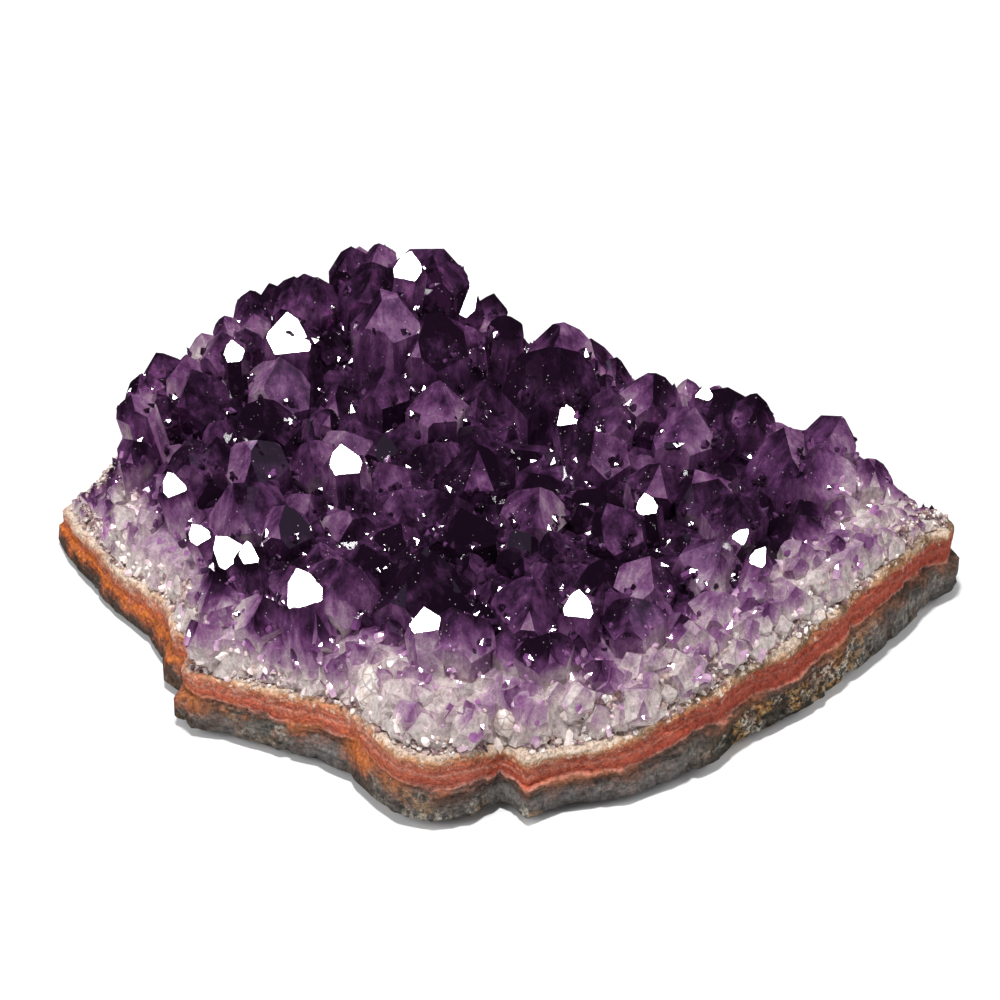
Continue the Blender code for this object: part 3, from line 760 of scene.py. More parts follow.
def boolean(obj, operation, other=None, collection=None):
    step = obj.modifiers.new(operation.lower(), "BOOLEAN")
    step.operation = operation
    if collection:
        step.operand_type = "COLLECTION"
        step.collection = collection
    else:
        step.object = other


def apply_modifiers(obj):
    graph = bpy.context.evaluated_depsgraph_get()
    mesh = bpy.data.meshes.new_from_object(obj.evaluated_get(graph))
    obj.modifiers.clear()
    obj.data = mesh


def planes_of(objects):
    """Each face as (normal, offset), the number of its crystal, and each crystal's tip and axis."""
    planes, owners, tips, axes = [], [], [], []
    for number, obj in enumerate(objects):
        world = obj.matrix_world
        turn = world.to_3x3()
        for polygon in obj.data.polygons:
            normal = turn @ polygon.normal
            place = world @ polygon.center
            planes.append((*normal, normal.dot(place) / MM))
            owners.append(number)
        tips.append(world.translation[:])
        axes.append(turn.col[2][:])
    return np.array(planes), np.array(owners), np.array(tips), np.array(axes)


def make_crust():
    """The crystals and their bed, joined into one body and cut clear of the slab."""
    crust = make_bed("amethyst_points", 0.0, 0.0)
    show(crust)
    growing = bpy.data.collections.new("growing")
    bpy.context.scene.collection.children.link(growing)
    print("crystals:", make_crystals(growing))
    bpy.context.view_layer.update()
    crystals = list(growing.objects)
    planes = planes_of(crystals)
    clearance = make_slab_clearance()
    show(clearance)
    boolean(crust, "UNION", collection=growing)
    boolean(crust, "DIFFERENCE", other=clearance)
    apply_modifiers(crust)
    for obj in crystals + [clearance]:
        bpy.data.objects.remove(obj)
    bpy.data.collections.remove(growing)
    set_facets(crust.data, *planes)
    return crust


def set_values(mesh, name, values, domain="POINT"):
    attribute = mesh.attributes.new(name, "FLOAT", domain)
    attribute.data.foreach_set("value", np.asarray(values, np.float32))


def read(items, name, kind=np.float32):
    """One value of each item."""
    values = np.empty(len(items), kind)
    items.foreach_get(name, values)
    return values


def read_vectors(items, name):
    """One vector of each item."""
    values = np.empty(len(items) * 3, np.float32)
    items.foreach_get(name, values)
    return values.reshape(-1, 3).astype(float)


def faces_of(mesh):
    """Each face's normal, middle and number of corners."""
    faces = mesh.polygons
    corners = read(faces, "loop_total", np.int32)
    return read_vectors(faces, "normal"), read_vectors(faces, "center"), corners


def set_facets(mesh, planes, owners, tips, axes):
    """Notes each facet's shade, its crystal's random tone plus a painted shade of its own, and how
    far below its crystal's tip each of its corners lies.
    """
    rng = np.random.default_rng(RANDOM_SEED)
    own_shade = rng.uniform(-1.0, 1.0, len(tips))
    painted_facet_shade = rng.uniform(-1.0, 1.0, len(planes))
    normals, middles, corners = faces_of(mesh)
    offsets = (normals * middles).sum(1) / MM
    found = np.empty(len(normals), int)
    misses = np.empty(len(normals))
    for start in range(0, len(normals), FACETS_AT_ONCE):
        part = slice(start, start + FACETS_AT_ONCE)
        miss = (offsets[part, None] - planes[None, :, 3]) ** 2
        miss += NORMAL_WEIGHT * ((normals[part, None, :] - planes[None, :, :3]) ** 2).sum(2)
        found[part] = miss.argmin(1)
        misses[part] = miss.min(1)
    is_crystal = misses < MOST_MISS
    owner = owners[found]
    # Painted shade: each facet gets its own brightness, standing in for faces that catch the light
    # differently; the crystal's share is its own random tone.
    shade = OWN_SHADE * own_shade[owner] + PAINTED_FACET_SHADE * painted_facet_shade[found]
    set_values(mesh, "shade", np.where(is_crystal, shade, 0.0), "FACE")
    places = read_vectors(mesh.vertices, "co")
    loops = read(mesh.loops, "vertex_index", np.int32)
    owner = np.repeat(owner, corners)
    depth = ((tips[owner] - places[loops]) * axes[owner]).sum(1) / MM
    # Faces of no crystal, the bed down in the valleys, get a depth at which hardly any pale foot is
    # painted, so they stay dark as painted valley shade.
    depth = np.where(np.repeat(is_crystal, corners), depth, DEPTH_ELSEWHERE)
    set_values(mesh, "depth", depth, "CORNER")


def paleness(points):
    """How far each place belongs to the pale stretches, from 0 to 1."""
    pale = np.zeros(len(points))
    for spot in PALE_PLACES:
        place = on_sight_line(spot.across, spot.down, spot.height * MM)
        gap = np.hypot(points[:, 0] - place.x, points[:, 1] - place.y)
        share = 1.0 - smooth_steps(gap / (spot.reach * MM))
        pale = np.maximum(pale, spot.amount * share)
    return pale


def set_tone(mesh):
    """Notes how deep the colour is at each point, 0 at the foot by the rim and 1 high up."""
    points = read_vectors(mesh.vertices, "co")
    distance, rim = edge_distances(points)
    rise = (points[:, 2] - rim) / (crest_heights(points) - rim)
    middle = smooth_steps((distance - WALL_WIDTH) / WALL_FADE)
    outer = np.clip(rise, 0.0, TONE_MOST) ** TONE_POWER * (1.0 - middle)
    tone = outer + MIDDLE_TONE * middle - paleness(points)
    set_values(mesh, "tone", np.clip(tone, 0.0, 1.0))


def fine(place, scale, octaves=3):
    return noise.fractal(place * scale, FRACTAL_FALL, FRACTAL_STEP, octaves)


def rock_rows(outline):
    """Rows of points up the slab's side and in over its top, and how far up each row is."""
    count = len(outline)
    insets = np.empty((len(LAYERS) + 1, count))
    heights = np.empty((len(LAYERS) + 1, count))
    for level, layer in enumerate(LAYERS):
        for i, corner in enumerate(outline):
            insets[level, i] = layer.inset * MM + rough(corner, level, layer.swing * MM)
            place = pulled_in(corner, insets[level, i])
            lift = rough(place, level + len(LAYERS), layer.lift * MM)
            heights[level, i] = corner.z * layer.share + lift
    for i, corner in enumerate(outline):
        insets[-1, i] = RIM_INSET + rough(corner, len(LAYERS), RIM_SWING)
        heights[-1, i] = corner.z
    shares = np.array([layer.share for layer in LAYERS] + [1.0])
    rows, shares_up = [], []
    for share in np.linspace(0.0, 1.0, ROCK_LEVELS):
        upper = min(int(np.searchsorted(shares, share, "right")), len(shares) - 1)
        part = (share - shares[upper - 1]) / (shares[upper] - shares[upper - 1])
        rows.append(
            [each[upper - 1] + (each[upper] - each[upper - 1]) * part for each in (insets, heights)]
        )
        shares_up.append(share)
    reach = np.array([corner.xy.length for corner in outline])
    inner = (1.0 - INNER_SHARE) * reach
    for number in range(1, LEDGE_RINGS + 1):
        inset = insets[-1] + LEDGE_REACH * number / LEDGE_RINGS
        part = (inset - insets[-1]) / (inner - insets[-1])
        rows.append((inset, heights[-1] + (INNER_HEIGHT - heights[-1]) * part))
        shares_up.append(1.0)
    rows.append((inner, np.full(count, INNER_HEIGHT)))
    shares_up.append(1.0)
    return rows, shares_up


def crack_depth(place, share):
    """How deep the upright cracks are at a place on the slab's visible side."""
    if place.y > CRACKS_REACH:
        return 0.0
    depth = 0.0
    for crack in CRACKS:
        middle = on_sight_line(crack.across, CRACK_ROW, SEEN_HEIGHT).x
        step = Vector((share * CRACK_WAVES, crack.across, 0.0))
        wander = CRACK_WANDER * noise.noise(step)
        off = (place.x - middle - wander) / (crack.wide * MM)
        depth += crack.deep * MM * math.exp(-off * off)
    return depth * (1.0 - CRACK_FADE * share)


def make_rock():
    """The slab with its fine layers, chips and cracks."""
    outline = evenly_spaced(OUTLINE, ROCK_STEP)
    rows, shares_up = rock_rows(outline)
    vertices, layers = [], []
    for (insets, heights), share in zip(rows, shares_up):
        on_side = LEAST_SIDE_SHARE < share < 1.0
        for i, corner in enumerate(outline):
            reach = corner.xy.length
            place = pulled_in(corner, insets[i])
            point = Vector((place.x, place.y, heights[i]))
            wavy = share + WAVE_SHARE * fine(Vector((point.x, point.y, 0.0)), WAVE_SCALE)
            if on_side:
                step = Vector((wavy * STEPS_UP, place.x * STEPS_ALONG, STEP_PATTERN))
                steps = STEP_DEPTH * noise.noise(step)
                chips = CHIP_DEPTH * fine(point, CHIP_SCALE, CHIP_OCTAVES)
                if share < LOWER_HALF:
                    chips *= LOWER_CHIPS
                push = max(0.0, steps + chips) + crack_depth(place, share)
                point.xy = point.xy * (1.0 - push / reach)
                point.z = max(0.0, point.z + SIDE_LIFT * fine(point, SIDE_LIFT_SCALE))
            elif share == 1.0:
                point.z += TOP_LIFT * (fine(point, TOP_LIFT_SCALE) - TOP_LIFT_DROP)
            vertices.append(point)
            layers.append(wavy)
    count = len(outline)
    foot, top = len(vertices), len(vertices) + 1
    vertices += [Vector((0.0, 0.0, 0.0)), Vector((0.0, 0.0, INNER_HEIGHT))]
    layers += [0.0, 1.0]
    faces = []
    for row in range(len(rows) - 1):
        for i in range(count):
            j = (i + 1) % count
            low, high = row * count, (row + 1) * count
            faces.append((low + i, low + j, high + j, high + i))
    last = (len(rows) - 1) * count
    for i in range(count):
        j = (i + 1) % count
        faces.append((foot, j, i))
        faces.append((top, last + i, last + j))
    mesh = bpy.data.meshes.new("matrix_rock")
    mesh.from_pydata(vertices, [], faces)
    mesh.shade_smooth()
    set_values(mesh, "layer", layers)
    rock = bpy.data.objects.new("matrix_rock", mesh)
    show(rock)
    return rock


def lump_shape(detail, rng, unevenness):
    """Points and faces of one rough lump of about unit radius."""
    bm = bmesh.new()
    bmesh.ops.create_icosphere(bm, subdivisions=detail, radius=1.0)
    points = np.array([v.co[:] for v in bm.verts])
    faces = np.array([[v.index for v in f.verts] for f in bm.faces])
    bm.free()
    points *= 1.0 + rng.uniform(-unevenness, unevenness, (len(points), 1))
    return points, faces


def joined(name, shapes):
    """One object from (points, faces, tint) rows."""
    points, faces, tints, start = [], [], [], 0
    for shape, sides, tint in shapes:
        points.append(shape)
        faces.append(sides + start)
        tints += [tint] * len(shape)
        start += len(shape)
    mesh = bpy.data.meshes.new(name)
    mesh.from_pydata(np.concatenate(points).tolist(), [], np.concatenate(faces).tolist())
    set_values(mesh, "tint", tints)
    obj = bpy.data.objects.new(name, mesh)
    show(obj)
    return obj


def random_turn(rng):
    turn, _ = np.linalg.qr(rng.normal(size=(3, 3)))
    return turn


def make_grains():
    """Crumbs of quartz along the rim and up the foot of the crust."""
    rng = np.random.default_rng(RANDOM_SEED)
    outline = evenly_spaced(OUTLINE, GRAIN_SPACING)
    kinds = [lump_shape(1, rng, GRAIN_UNEVENNESS) for _ in range(SHAPE_KINDS)]
    shapes = []
    for _ in range(GRAINS):
        corner = outline[rng.integers(len(outline))]
        patch = 0.5 + 0.5 * noise.noise(corner * GRAIN_PATCHES_PER_METRE)
        rise = GRAIN_RISE * patch * rng.random() ** GRAIN_RISE_POWER - GRAIN_SINK
        slope = BED_SHOULDER_INSET - BED_FOOT_INSET
        inset = BED_FOOT_INSET + slope * (rise / BED_SHOULDER_RISE)
        if rise < GRAIN_LEAST_RISE:
            inset = rng.uniform(*GRAIN_LEDGE)
            rise = 0.0
        place = drawn_in(corner, inset)
        least, most = GRAIN_SIZES
        size = least + (most - least) * rng.random() ** GRAIN_SIZE_POWER
        rise = min(rise, crest_height(*place) - corner.z - size)
        points, faces = kinds[rng.integers(len(kinds))]
        scale = size * rng.uniform(*GRAIN_STRETCH, 3)
        centre = np.array((place.x, place.y, corner.z + rise))
        centre[:2] += rng.normal(0.0, GRAIN_SCATTER, 2)
        points = (points * scale) @ random_turn(rng).T + centre
        shapes.append((points, faces, rng.random() ** GRAIN_TINT_POWER))
    return joined("quartz_grains", shapes)


def make_lumps():
    """The broken white lumps of quartz at the foot of the crust."""
    rng = np.random.default_rng(RANDOM_SEED + 1)
    shapes = []
    for lump in LUMPS:
        rim = LUMP_BASE + lump.rise * MM
        centre = np.array(on_sight_line(lump.across, lump.down, rim)[:])
        points, faces = lump_shape(2, rng, LUMP_UNEVENNESS)
        scale = lump.size * MM * rng.uniform(*LUMP_STRETCH)
        shapes.append((points * scale + centre, faces, LUMP_TINT))
    return joined("broken_quartz", shapes)


def point_shape(rng):
    """Points and faces of one small six-sided crystal of about unit half width, its tip up."""
    angles = np.arange(6) * math.pi / 3 + rng.uniform(-POINT_TURN, POINT_TURN, 6)
    reach = rng.uniform(*POINT_REACH, 6)
    side = np.column_stack([np.cos(angles) * reach, np.sin(angles) * reach])
    low = np.column_stack([side, np.full(6, POINT_FOOT)])
    high = np.column_stack([side, rng.uniform(*POINT_SHOULDER, 6)])
    tip = np.array([[*rng.uniform(-POINT_ASIDE, POINT_ASIDE, 2), POINT_TIP]])
    faces = [(0, i + 1, i) for i in range(1, 5)]
    for i in range(6):
        j = (i + 1) % 6
        faces += [(i, j, 6 + j), (i, 6 + j, 6 + i), (6 + i, 6 + j, 12)]
    return np.concatenate([low, high, tip]), np.array(faces)


def turn_towards(direction, rng):
    """A rotation that points +Z in a direction, with a random turn about it."""
    axis = direction / np.linalg.norm(direction)
    first = np.cross(axis, rng.normal(size=3))
    first /= np.linalg.norm(first)
    return np.column_stack([first, np.cross(axis, first), axis])


def gleam_directions(places):
    """The way a face has to look at each place to mirror the key light to the eye."""
    to_eye = np.array(EYE) - places
    to_key = np.array(KEY_PLACE) - places
    to_eye /= np.linalg.norm(to_eye, axis=1)[:, None]
    to_key /= np.linalg.norm(to_key, axis=1)[:, None]
    middle = to_eye + to_key
    return middle / np.linalg.norm(middle, axis=1)[:, None]


def turned_to_gleam(shape, faces, place, rng):
    """The shape turned so that its last face mirrors the key light to the eye, or nearly."""
    first, second, third = shape[faces[-1]]
    normal = Vector(np.cross(second - first, third - first)).normalized()
    aim = Vector(gleam_directions(place[None])[0] + rng.normal(0.0, SPARKLE_SPREAD, 3))
    turn = normal.rotation_difference(aim.normalized()).to_matrix()
    return shape @ np.array(turn).T


def make_small_points(crust):
    """Small crystals that grow between the large ones and on their sides, some of which sparkle."""
    rng = np.random.default_rng(RANDOM_SEED + 2)
    normals, middles, corners = faces_of(crust)
    points = read_vectors(crust.vertices, "co")
    loops = read(crust.loops, "vertex_index", np.int32)
    depths = read(crust.attributes["depth"].data, "value")
    areas = read(crust.polygons, "area")
    firsts = np.concatenate([[0], np.cumsum(corners)[:-1]])
    lowest = np.maximum.reduceat(depths, firsts)
    weights = areas * (lowest > SMALL_POINT_LEAST_DEPTH) * (normals[:, 2] > SMALL_POINT_FACING)
    weights *= (normals * gleam_directions(middles)).sum(1) < GLEAM_LIMIT
    kinds = [point_shape(rng) for _ in range(SHAPE_KINDS)]
    shapes = []
    for face in rng.choice(len(corners), SMALL_POINTS, p=weights / weights.sum()):
        part = slice(firsts[face], firsts[face] + corners[face])
        below = np.maximum(depths[part], SMALL_POINT_NEAREST)
        share = rng.random(corners[face]) * below**SMALL_POINT_LOWER
        centre = (points[loops[part]] * (share / share.sum())[:, None]).sum(0)
        direction = SMALL_POINT_LEAN * normals[face] + SMALL_POINT_UP
        direction = direction + rng.normal(0.0, SMALL_POINT_SPREAD, 3)
        shape, faces = kinds[rng.integers(len(kinds))]
        wide = rng.uniform(*SMALL_POINT_SIZES)
        scale = wide * np.array((1, 1, rng.uniform(*SMALL_POINT_HEIGHTS)))
        shape = (shape * scale) @ turn_towards(direction, rng).T
        if rng.random() < SPARKLE_CHANCE:
            shape = turned_to_gleam(shape, faces, centre, rng)
        shapes.append((shape + centre, faces, rng.random()))
    return joined("small_points", shapes)


class Tree:
    """Builds a material's nodes with short calls."""

    def __init__(self, name):
        self.material = bpy.data.materials.new(name)
        self.material.use_nodes = True
        self.tree = self.material.node_tree
        self.shader = self.tree.nodes["Principled BSDF"]
        self.place = self.add("TexCoord").outputs["Object"]

    def add(self, kind, **settings):
        node = self.tree.nodes.new("ShaderNode" + kind)
        for name, value in settings.items():
            setattr(node, name, value)
        return node

    def link(self, value, socket):
        if isinstance(value, (int, float, tuple)):
            socket.default_value = value
        else:
            self.tree.links.new(value, socket)

    def set(self, **values):
        """Sets the shader's own inputs, with _ for a space."""
        for name, value in values.items():
            self.link(value, self.shader.inputs[name.replace("_", " ")])

    def value(self, name):
        return self.add("Attribute", attribute_name=name).outputs["Fac"]

    def noise(self, scale, detail=4.0, roughness=0.6, at=None):
        node = self.add("TexNoise")
        self.link(at or self.place, node.inputs["Vector"])
        node.inputs["Scale"].default_value = scale
        node.inputs["Detail"].default_value = detail
        node.inputs["Roughness"].default_value = roughness
        return node.outputs["Fac"]

    def cells(self, scale, feature="F1"):
        node = self.add("TexVoronoi", feature=feature)
        self.link(self.place, node.inputs["Vector"])
        node.inputs["Scale"].default_value = scale
        return node.outputs["Distance"]

    def math(self, operation, first, second=0.0, clamp=False):
        node = self.add("Math", operation=operation, use_clamp=clamp)
        self.link(first, node.inputs[0])
        self.link(second, node.inputs[1])
        return node.outputs[0]

    def times(self, first, second):
        return self.math("MULTIPLY", first, second)

    def swing(self, value, amount):
        """A value round a half as one round nothing, amount wide."""
        return self.times(self.math("SUBTRACT", value, 0.5), amount)

    def stretched(self, up):
        """The place with its height scaled, for patterns that run upright."""
        node = self.add("VectorMath", operation="MULTIPLY")
        self.link(self.place, node.inputs[0])
        node.inputs[1].default_value = (1.0, 1.0, up)
        return node.outputs[0]

    def ramp(self, value, *stops):
        """Colours or values at stops, each (position, value)."""
        node = self.add("ValToRGB")
        self.link(value, node.inputs["Fac"])
        band = node.color_ramp
        while len(band.elements) < len(stops):
            band.elements.new(1.0)
        for element, (position, shade) in zip(band.elements, stops):
            element.position = position
            if isinstance(shade, (int, float)):
                shade = (shade, shade, shade)
            element.color = (*shade, 1.0)
        return node.outputs["Color"]

    def mix(self, share, first, second, blend="MIX"):
        node = self.add("Mix", data_type="RGBA", blend_type=blend)
        self.link(share, node.inputs["Factor"])
        for value, socket in ((first, node.inputs[6]), (second, node.inputs[7])):
            self.link((*value, 1.0) if isinstance(value, tuple) else value, socket)
        return node.outputs[2]

    def shaded(self, share, colour, factor):
        """A colour, by that share multiplied by a factor."""
        return self.mix(share, colour, self.mix(1.0, colour, factor, "MULTIPLY"))

    def bump(self, height, distance, strength=1.0, over=None):
        node = self.add("Bump")
        if over:
            self.link(over, node.inputs["Normal"])
        self.link(height, node.inputs["Height"])
        node.inputs["Distance"].default_value = distance
        self.link(strength, node.inputs["Strength"])
        return node.outputs["Normal"]


def amethyst_colour(t, zone):
    """White over lavender and violet to near black."""
    return t.ramp(
        zone,
        (0.0, (1.00, 0.89, 0.84)),
        (0.14, (0.82, 0.65, 0.66)),
        (0.32, (0.56, 0.36, 0.51)),
        (0.51, (0.35, 0.150, 0.34)),
        (0.69, (0.165, 0.055, 0.170)),
        (0.85, (0.060, 0.022, 0.064)),
        (1.0, (0.018, 0.007, 0.019)),
    )


def amethyst():
    """Glassy crystal: near black and violet at the tips, lavender and grainy white at the foot."""
    t = Tree("amethyst_crystal")
    big = t.swing(t.noise(130.0, 3.0, 0.6), 0.7)
    streaks = t.noise(480.0, 5.0, 0.75, t.stretched(0.3))
    small = t.swing(streaks, 1.0)
    # shade: the crystal's random tone plus a painted shade per facet, standing in for faces lit
    # differently
    shade = t.times(t.value("shade"), 0.42)
    depth = t.times(t.value("depth"), 0.1)
    # Paler part way down each crystal, its real pale foot; darker again deepest down, a painted
    # shade in the valleys between crystals.
    pale_foot_and_painted_valley_shade = t.ramp(depth, (0.20, 0.0), (0.55, 0.16), (0.95, 0.02))
    zone = t.math("ADD", t.value("tone"), t.math("ADD", big, small))
    zone = t.math("SUBTRACT", t.math("ADD", zone, shade), pale_foot_and_painted_valley_shade, clamp=True)
    colour = amethyst_colour(t, zone)
    # White specks in the colour: partly inclusions, partly painted sparkles of light.
    specks_and_painted_sparkles = t.ramp(t.cells(1000.0), (0.08, 1.0), (0.13, 0.0))
    specks_and_painted_sparkles = t.times(specks_and_painted_sparkles, t.ramp(t.noise(260.0), (0.50, 0.0), (0.56, 0.9)))
    colour = t.mix(specks_and_painted_sparkles, colour, (0.90, 0.84, 0.84))
    pale = t.ramp(zone, (0.10, 1.0), (0.60, 0.0))
    sugar = t.ramp(t.noise(1500.0, 3.0, 0.8), (0.42, 0.60), (0.50, 1.0), (0.58, 1.25))
    sugar_share = t.times(pale, 0.60)
    colour = t.shaded(sugar_share, colour, sugar)
    fibres = t.noise(620.0, 3.0, 0.7, t.stretched(0.14))
    fibres = t.ramp(fibres, (0.40, 0.62), (0.50, 1.0), (0.60, 1.20))
    colour = t.shaded(sugar_share, colour, fibres)
    seams = t.ramp(t.cells(620.0, "DISTANCE_TO_EDGE"), (0.01, 1.0), (0.05, 0.0))
    seams = t.times(t.times(seams, pale), 0.5)
    colour = t.mix(seams, colour, (0.93, 0.86, 0.84))
    fine_waves = t.times(t.noise(460.0, 1.0, 0.5), 0.07)
    waves = t.bump(t.math("ADD", t.noise(130.0, 1.0, 0.5), fine_waves), 0.34 * MM, 0.9)
    cracks = t.bump(t.cells(450.0), 0.4 * MM, pale, waves)
    t.set(
        Base_Color=colour,
        Transmission_Weight=0.50,
        IOR=1.544,
        Roughness=t.ramp(zone, (0.1, 0.25), (0.5, 0.06), (1.0, 0.02)),
        Normal=cracks,
    )
    absorb = t.add("VolumeAbsorption")
    absorb.inputs["Color"].default_value = (0.62, 0.16, 0.60, 1.0)
    absorb.inputs["Density"].default_value = 100.0
    output = t.tree.nodes["Material Output"]
    t.tree.links.new(absorb.outputs["Volume"], output.inputs["Volume"])
    return t.material


def milky_quartz():
    """Broken quartz, each grain its own shade from brown and grey lavender to cream and white."""
    t = Tree("milky_quartz")
    clouds = t.swing(t.noise(600.0, 6.0, 0.7), 1.0)
    colour = t.ramp(
        t.math("ADD", t.value("tint"), clouds, clamp=True),
        (0.02, (0.080, 0.040, 0.035)),
        (0.25, (0.28, 0.165, 0.160)),
        (0.50, (0.50, 0.350, 0.320)),
        (0.72, (0.66, 0.540, 0.480)),
        (0.95, (0.90, 0.850, 0.800)),
    )
    seams = t.ramp(t.cells(480.0, "DISTANCE_TO_EDGE"), (0.015, 1.0), (0.07, 0.0))
    colour = t.mix(t.times(seams, 0.55), colour, (0.16, 0.09, 0.15))
    t.set(
        Base_Color=colour,
        Roughness=t.ramp(t.noise(900.0), (0.35, 0.05), (0.65, 0.35)),
        IOR=1.544,
        Normal=t.bump(t.cells(700.0), 0.3 * MM, 0.9),
    )
    return t.material


def small_amethyst():
    """The small points' quartz, each of them its own shade, with bright faces."""
    t = Tree("small_amethyst")
    own = t.times(t.math("SUBTRACT", t.value("tint"), 0.35), 0.50)
    clouds = t.swing(t.noise(700.0, 4.0, 0.7), 0.5)
    zone = t.math("ADD", t.value("tone"), t.math("ADD", own, clouds), clamp=True)
    t.set(
        Base_Color=amethyst_colour(t, zone),
        Roughness=t.ramp(t.noise(400.0), (0.3, 0.02), (0.7, 0.12)),
        IOR=1.544,
        Normal=t.bump(t.noise(900.0), 0.05 * MM, 0.4),
    )
    return t.material


def banded_rock():
    """Agate bands from a dark foot through grey and red to a sandy top, with rust and basalt."""
    t = Tree("banded_agate")
    parts = t.add("SeparateXYZ")
    t.link(t.place, parts.inputs[0])
    along = parts.outputs["X"]
    ripple = t.swing(t.noise(420.0, 5.0, 0.7), 0.12)
    swell = t.swing(t.noise(60.0, 2.0, 0.5), 0.30)
    layer = t.math("ADD", t.value("layer"), t.math("ADD", ripple, swell), clamp=True)
    bands = t.ramp(
        layer,
        (0.00, (0.012, 0.009, 0.007)),
        (0.08, (0.035, 0.026, 0.021)),
        (0.18, (0.105, 0.096, 0.092)),
        (0.36, (0.190, 0.172, 0.160)),
        (0.48, (0.070, 0.058, 0.050)),
        (0.55, (0.035, 0.018, 0.010)),
        (0.58, (0.52, 0.220, 0.160)),
        (0.62, (0.42, 0.050, 0.020)),
        (0.70, (0.50, 0.090, 0.040)),
        (0.75, (0.56, 0.200, 0.130)),
        (0.79, (0.42, 0.055, 0.020)),
        (0.88, (0.46, 0.120, 0.040)),
        (0.95, (0.50, 0.270, 0.130)),
        (1.00, (0.62, 0.500, 0.390)),
    )
    clefts = t.ramp(t.noise(420.0, 3.0, 0.7, t.stretched(0.12)), (0.36, 0.75), (0.44, 0.0))
    clefts = t.times(clefts, t.ramp(layer, (0.40, 1.0), (0.50, 0.0)))
    bands = t.mix(clefts, bands, (0.020, 0.017, 0.014))
    lines = t.add("TexWave", wave_type="BANDS", bands_direction="Z")
    joined_up = t.add("CombineXYZ")
    t.link(layer, joined_up.inputs["Z"])
    t.link(joined_up.outputs[0], lines.inputs["Vector"])
    lines.inputs["Scale"].default_value = 9.0
    to_right = t.ramp(along, (0.0, 0.22), (0.030, 0.10))
    line_share = t.times(lines.outputs["Fac"], to_right)
    laminated = t.mix(line_share, bands, (0.62, 0.30, 0.22))
    below = t.ramp(layer, (0.46, 1.0), (0.53, 0.0))
    laminated = t.mix(below, laminated, bands)
    clumps = t.ramp(t.noise(1000.0, 4.0, 0.8), (0.47, 0.0), (0.56, 1.0))
    speckle = t.times(clumps, t.ramp(t.noise(190.0, 3.0, 0.6), (0.38, 0.1), (0.52, 1.0)))
    ochre_grains = t.ramp(t.noise(260.0), (0.46, 0.0), (0.56, 1.0))
    grain_shades = t.mix(ochre_grains, (0.56, 0.52, 0.42), (0.42, 0.22, 0.06))
    basalt = t.mix(speckle, (0.030, 0.029, 0.023), grain_shades)
    patches = t.ramp(t.noise(45.0, 2.0, 0.5), (0.44, 1.0), (0.50, 0.0))
    right = t.ramp(along, (0.030, 0.0), (0.034, 1.0), (0.056, 1.0), (0.060, 0.25))
    where = t.times(t.math("MAXIMUM", right, t.times(patches, 0.5)), below)
    rock = t.mix(where, laminated, basalt)
    rust_noise = t.ramp(t.noise(110.0, 6.0, 0.7), (0.47, 0.0), (0.60, 1.0))
    to_left = t.times(along, -1.0)
    left = t.ramp(to_left, (0.0, 0.25), (0.030, 0.45), (0.050, 1.0))
    rusty_place = t.swing(t.noise(330.0, 6.0, 0.75), 1.1)
    rusty = t.ramp(
        t.math("ADD", layer, rusty_place, clamp=True),
        (0.05, (0.030, 0.018, 0.012)),
        (0.28, (0.080, 0.034, 0.014)),
        (0.42, (0.40, 0.075, 0.010)),
        (0.55, (0.62, 0.170, 0.018)),
        (0.64, (0.44, 0.085, 0.028)),
        (0.80, (0.50, 0.200, 0.110)),
        (1.00, (0.66, 0.520, 0.400)),
    )
    lower = t.ramp(layer, (0.02, 0.0), (0.20, 0.8), (0.60, 0.95), (0.80, 0.75), (1.0, 0.6))
    wander = t.swing(t.noise(90.0), 0.006)
    ochre = t.ramp(
        t.math("ADD", to_left, wander),
        (0.0195, 0.0),
        (0.0220, 0.9),
        (0.0245, 0.9),
        (0.0270, 0.0),
    )
    far_left = t.ramp(to_left, (0.044, 0.0), (0.056, 0.95))
    far_left = t.math("MAXIMUM", far_left, ochre)
    rust = t.math("MAXIMUM", t.times(rust_noise, left), far_left)
    colour = t.mix(t.times(rust, lower), rock, rusty)
    in_band = t.ramp(layer, (0.57, 0.0), (0.60, 1.0), (0.86, 1.0), (0.92, 0.0))
    redder = t.times(in_band, t.ramp(along, (0.0, 0.0), (0.035, 0.65)))
    colour = t.mix(redder, colour, (0.36, 0.040, 0.016))
    browner = t.ramp(t.noise(140.0, 4.0, 0.7), (0.44, 0.0), (0.56, 0.9))
    browner = t.times(browner, t.ramp(layer, (0.86, 0.0), (0.94, 1.0)))
    browner = t.times(browner, t.ramp(along, (0.010, 0.0), (0.030, 1.0)))
    colour = t.mix(browner, colour, (0.150, 0.080, 0.036))
    specks = t.ramp(t.noise(1500.0, 4.0, 0.8), (0.40, 0.50), (0.50, 1.0), (0.60, 1.45))
    colour = t.shaded(0.8, colour, specks)
    crumbs = t.ramp(t.noise(800.0, 3.0, 0.8), (0.56, 0.0), (0.62, 0.8))
    crumbs = t.times(crumbs, t.ramp(layer, (0.78, 0.0), (0.92, 1.0)))
    colour = t.mix(crumbs, colour, (0.80, 0.70, 0.60))
    sparkle = t.ramp(t.cells(1500.0), (0.08, 0.1), (0.3, 0.6))
    rough_height = t.math("ADD", t.noise(900.0, 6.0, 0.75), t.cells(1100.0))
    t.set(
        Base_Color=colour,
        Roughness=sparkle,
        Normal=t.bump(rough_height, 0.35 * MM, 0.9),
    )
    return t.material


def floor_paper():
    """The pale paper that the cluster stands on."""
    t = Tree("floor_paper")
    t.set(
        Base_Color=t.ramp(t.noise(3.0), (0.3, (0.90, 0.90, 0.90)), (0.7, (0.93, 0.93, 0.93))),
        Roughness=0.9,
    )
    return t.material


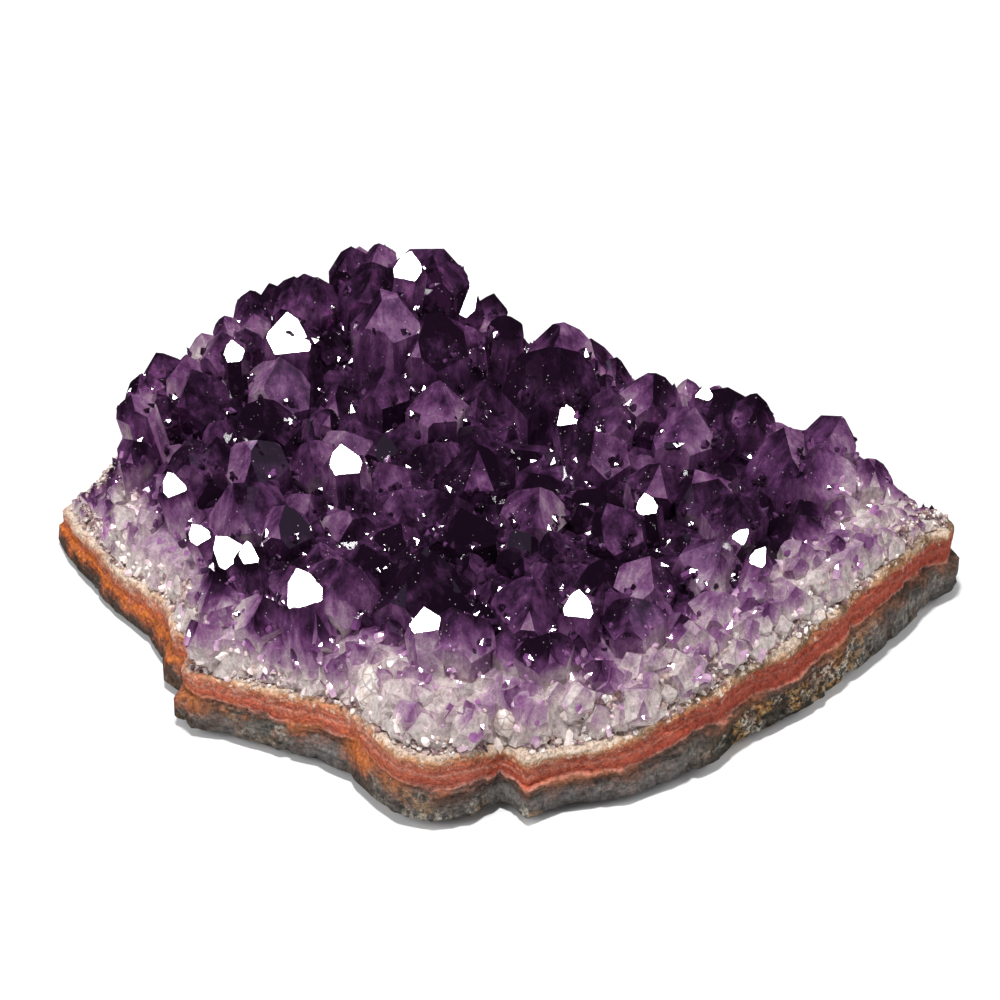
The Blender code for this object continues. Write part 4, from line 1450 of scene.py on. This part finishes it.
def deep_core():
    """The massed quartz under the crystals: white by the rim and dark purple in the middle."""
    t = Tree("deep_core")
    clouds = t.swing(t.noise(200.0, 6.0, 0.7), 0.6)
    zone = t.math("ADD", t.value("tone"), clouds, clamp=True)
    colour = t.ramp(
        zone,
        (0.0, (0.90, 0.86, 0.84)),
        (0.25, (0.72, 0.62, 0.74)),
        (0.5, (0.38, 0.22, 0.48)),
        (0.8, (0.10, 0.03, 0.16)),
    )
    t.set(Base_Color=colour, Roughness=0.5, Normal=t.bump(t.cells(500.0), 0.3 * MM, 0.7))
    return t.material


def add_light(name, place, aim, size, power, colour):
    data = bpy.data.lights.new(name, "AREA")
    data.shape = "DISK"
    data.size = size
    data.energy = power
    data.color = colour
    light = bpy.data.objects.new(name, data)
    light.location = place
    light.rotation_euler = (aim - place).to_track_quat("-Z", "Y").to_euler()
    show(light)
    return light


def make_studio():
    scene = bpy.context.scene
    world = bpy.data.worlds.new("studio")
    world.use_nodes = True
    world.node_tree.nodes["Background"].inputs["Color"].default_value = (1, 1, 1, 1)
    world.node_tree.nodes["Background"].inputs["Strength"].default_value = WORLD_LIGHT
    scene.world = world
    world.cycles_visibility.glossy = False
    for name, place, size, power, colour, is_mirrored in LIGHTS:
        light = add_light(name, Vector(place), VIEW_TARGET, size, power, colour)
        light.visible_glossy = is_mirrored
    bpy.ops.mesh.primitive_plane_add(size=6.0)
    floor = bpy.context.object
    floor.name = "floor"
    floor.data.materials.append(floor_paper())
    floor.visible_glossy = False
    scene.view_settings.view_transform = "Standard"


def make_camera():
    data = bpy.data.cameras.new("camera")
    data.sensor_width = 36.0
    data.lens = VIEW_POINTS_PER_TANGENT / PICTURE_WIDTH * data.sensor_width
    camera = bpy.data.objects.new("camera", data)
    camera.location = EYE
    camera.rotation_euler = (math.pi / 2 - VIEW_ELEVATION, 0.0, 0.0)
    show(camera)
    bpy.context.scene.camera = camera


def dress(piece, material, node=None):
    """Gives a piece its material, ties it to the part, and lets it stand for a solid."""
    piece.data.materials.clear()
    piece.data.materials.append(material)
    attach(piece, "root")
    if node:
        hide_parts(node)


def main():
    make_camera()
    make_studio()
    crust = make_crust()
    set_tone(crust.data)
    dress(crust, amethyst(), "crystals")
    small = make_small_points(crust.data)
    set_tone(small.data)
    dress(small, small_amethyst())
    core = make_bed("quartz_bed", CORE_SINK, CORE_INSET)
    show(core)
    set_tone(core.data)
    dress(core, deep_core())
    dress(make_rock(), banded_rock(), "matrix")
    quartz = milky_quartz()
    dress(make_grains(), quartz)
    dress(make_lumps(), quartz)


main()
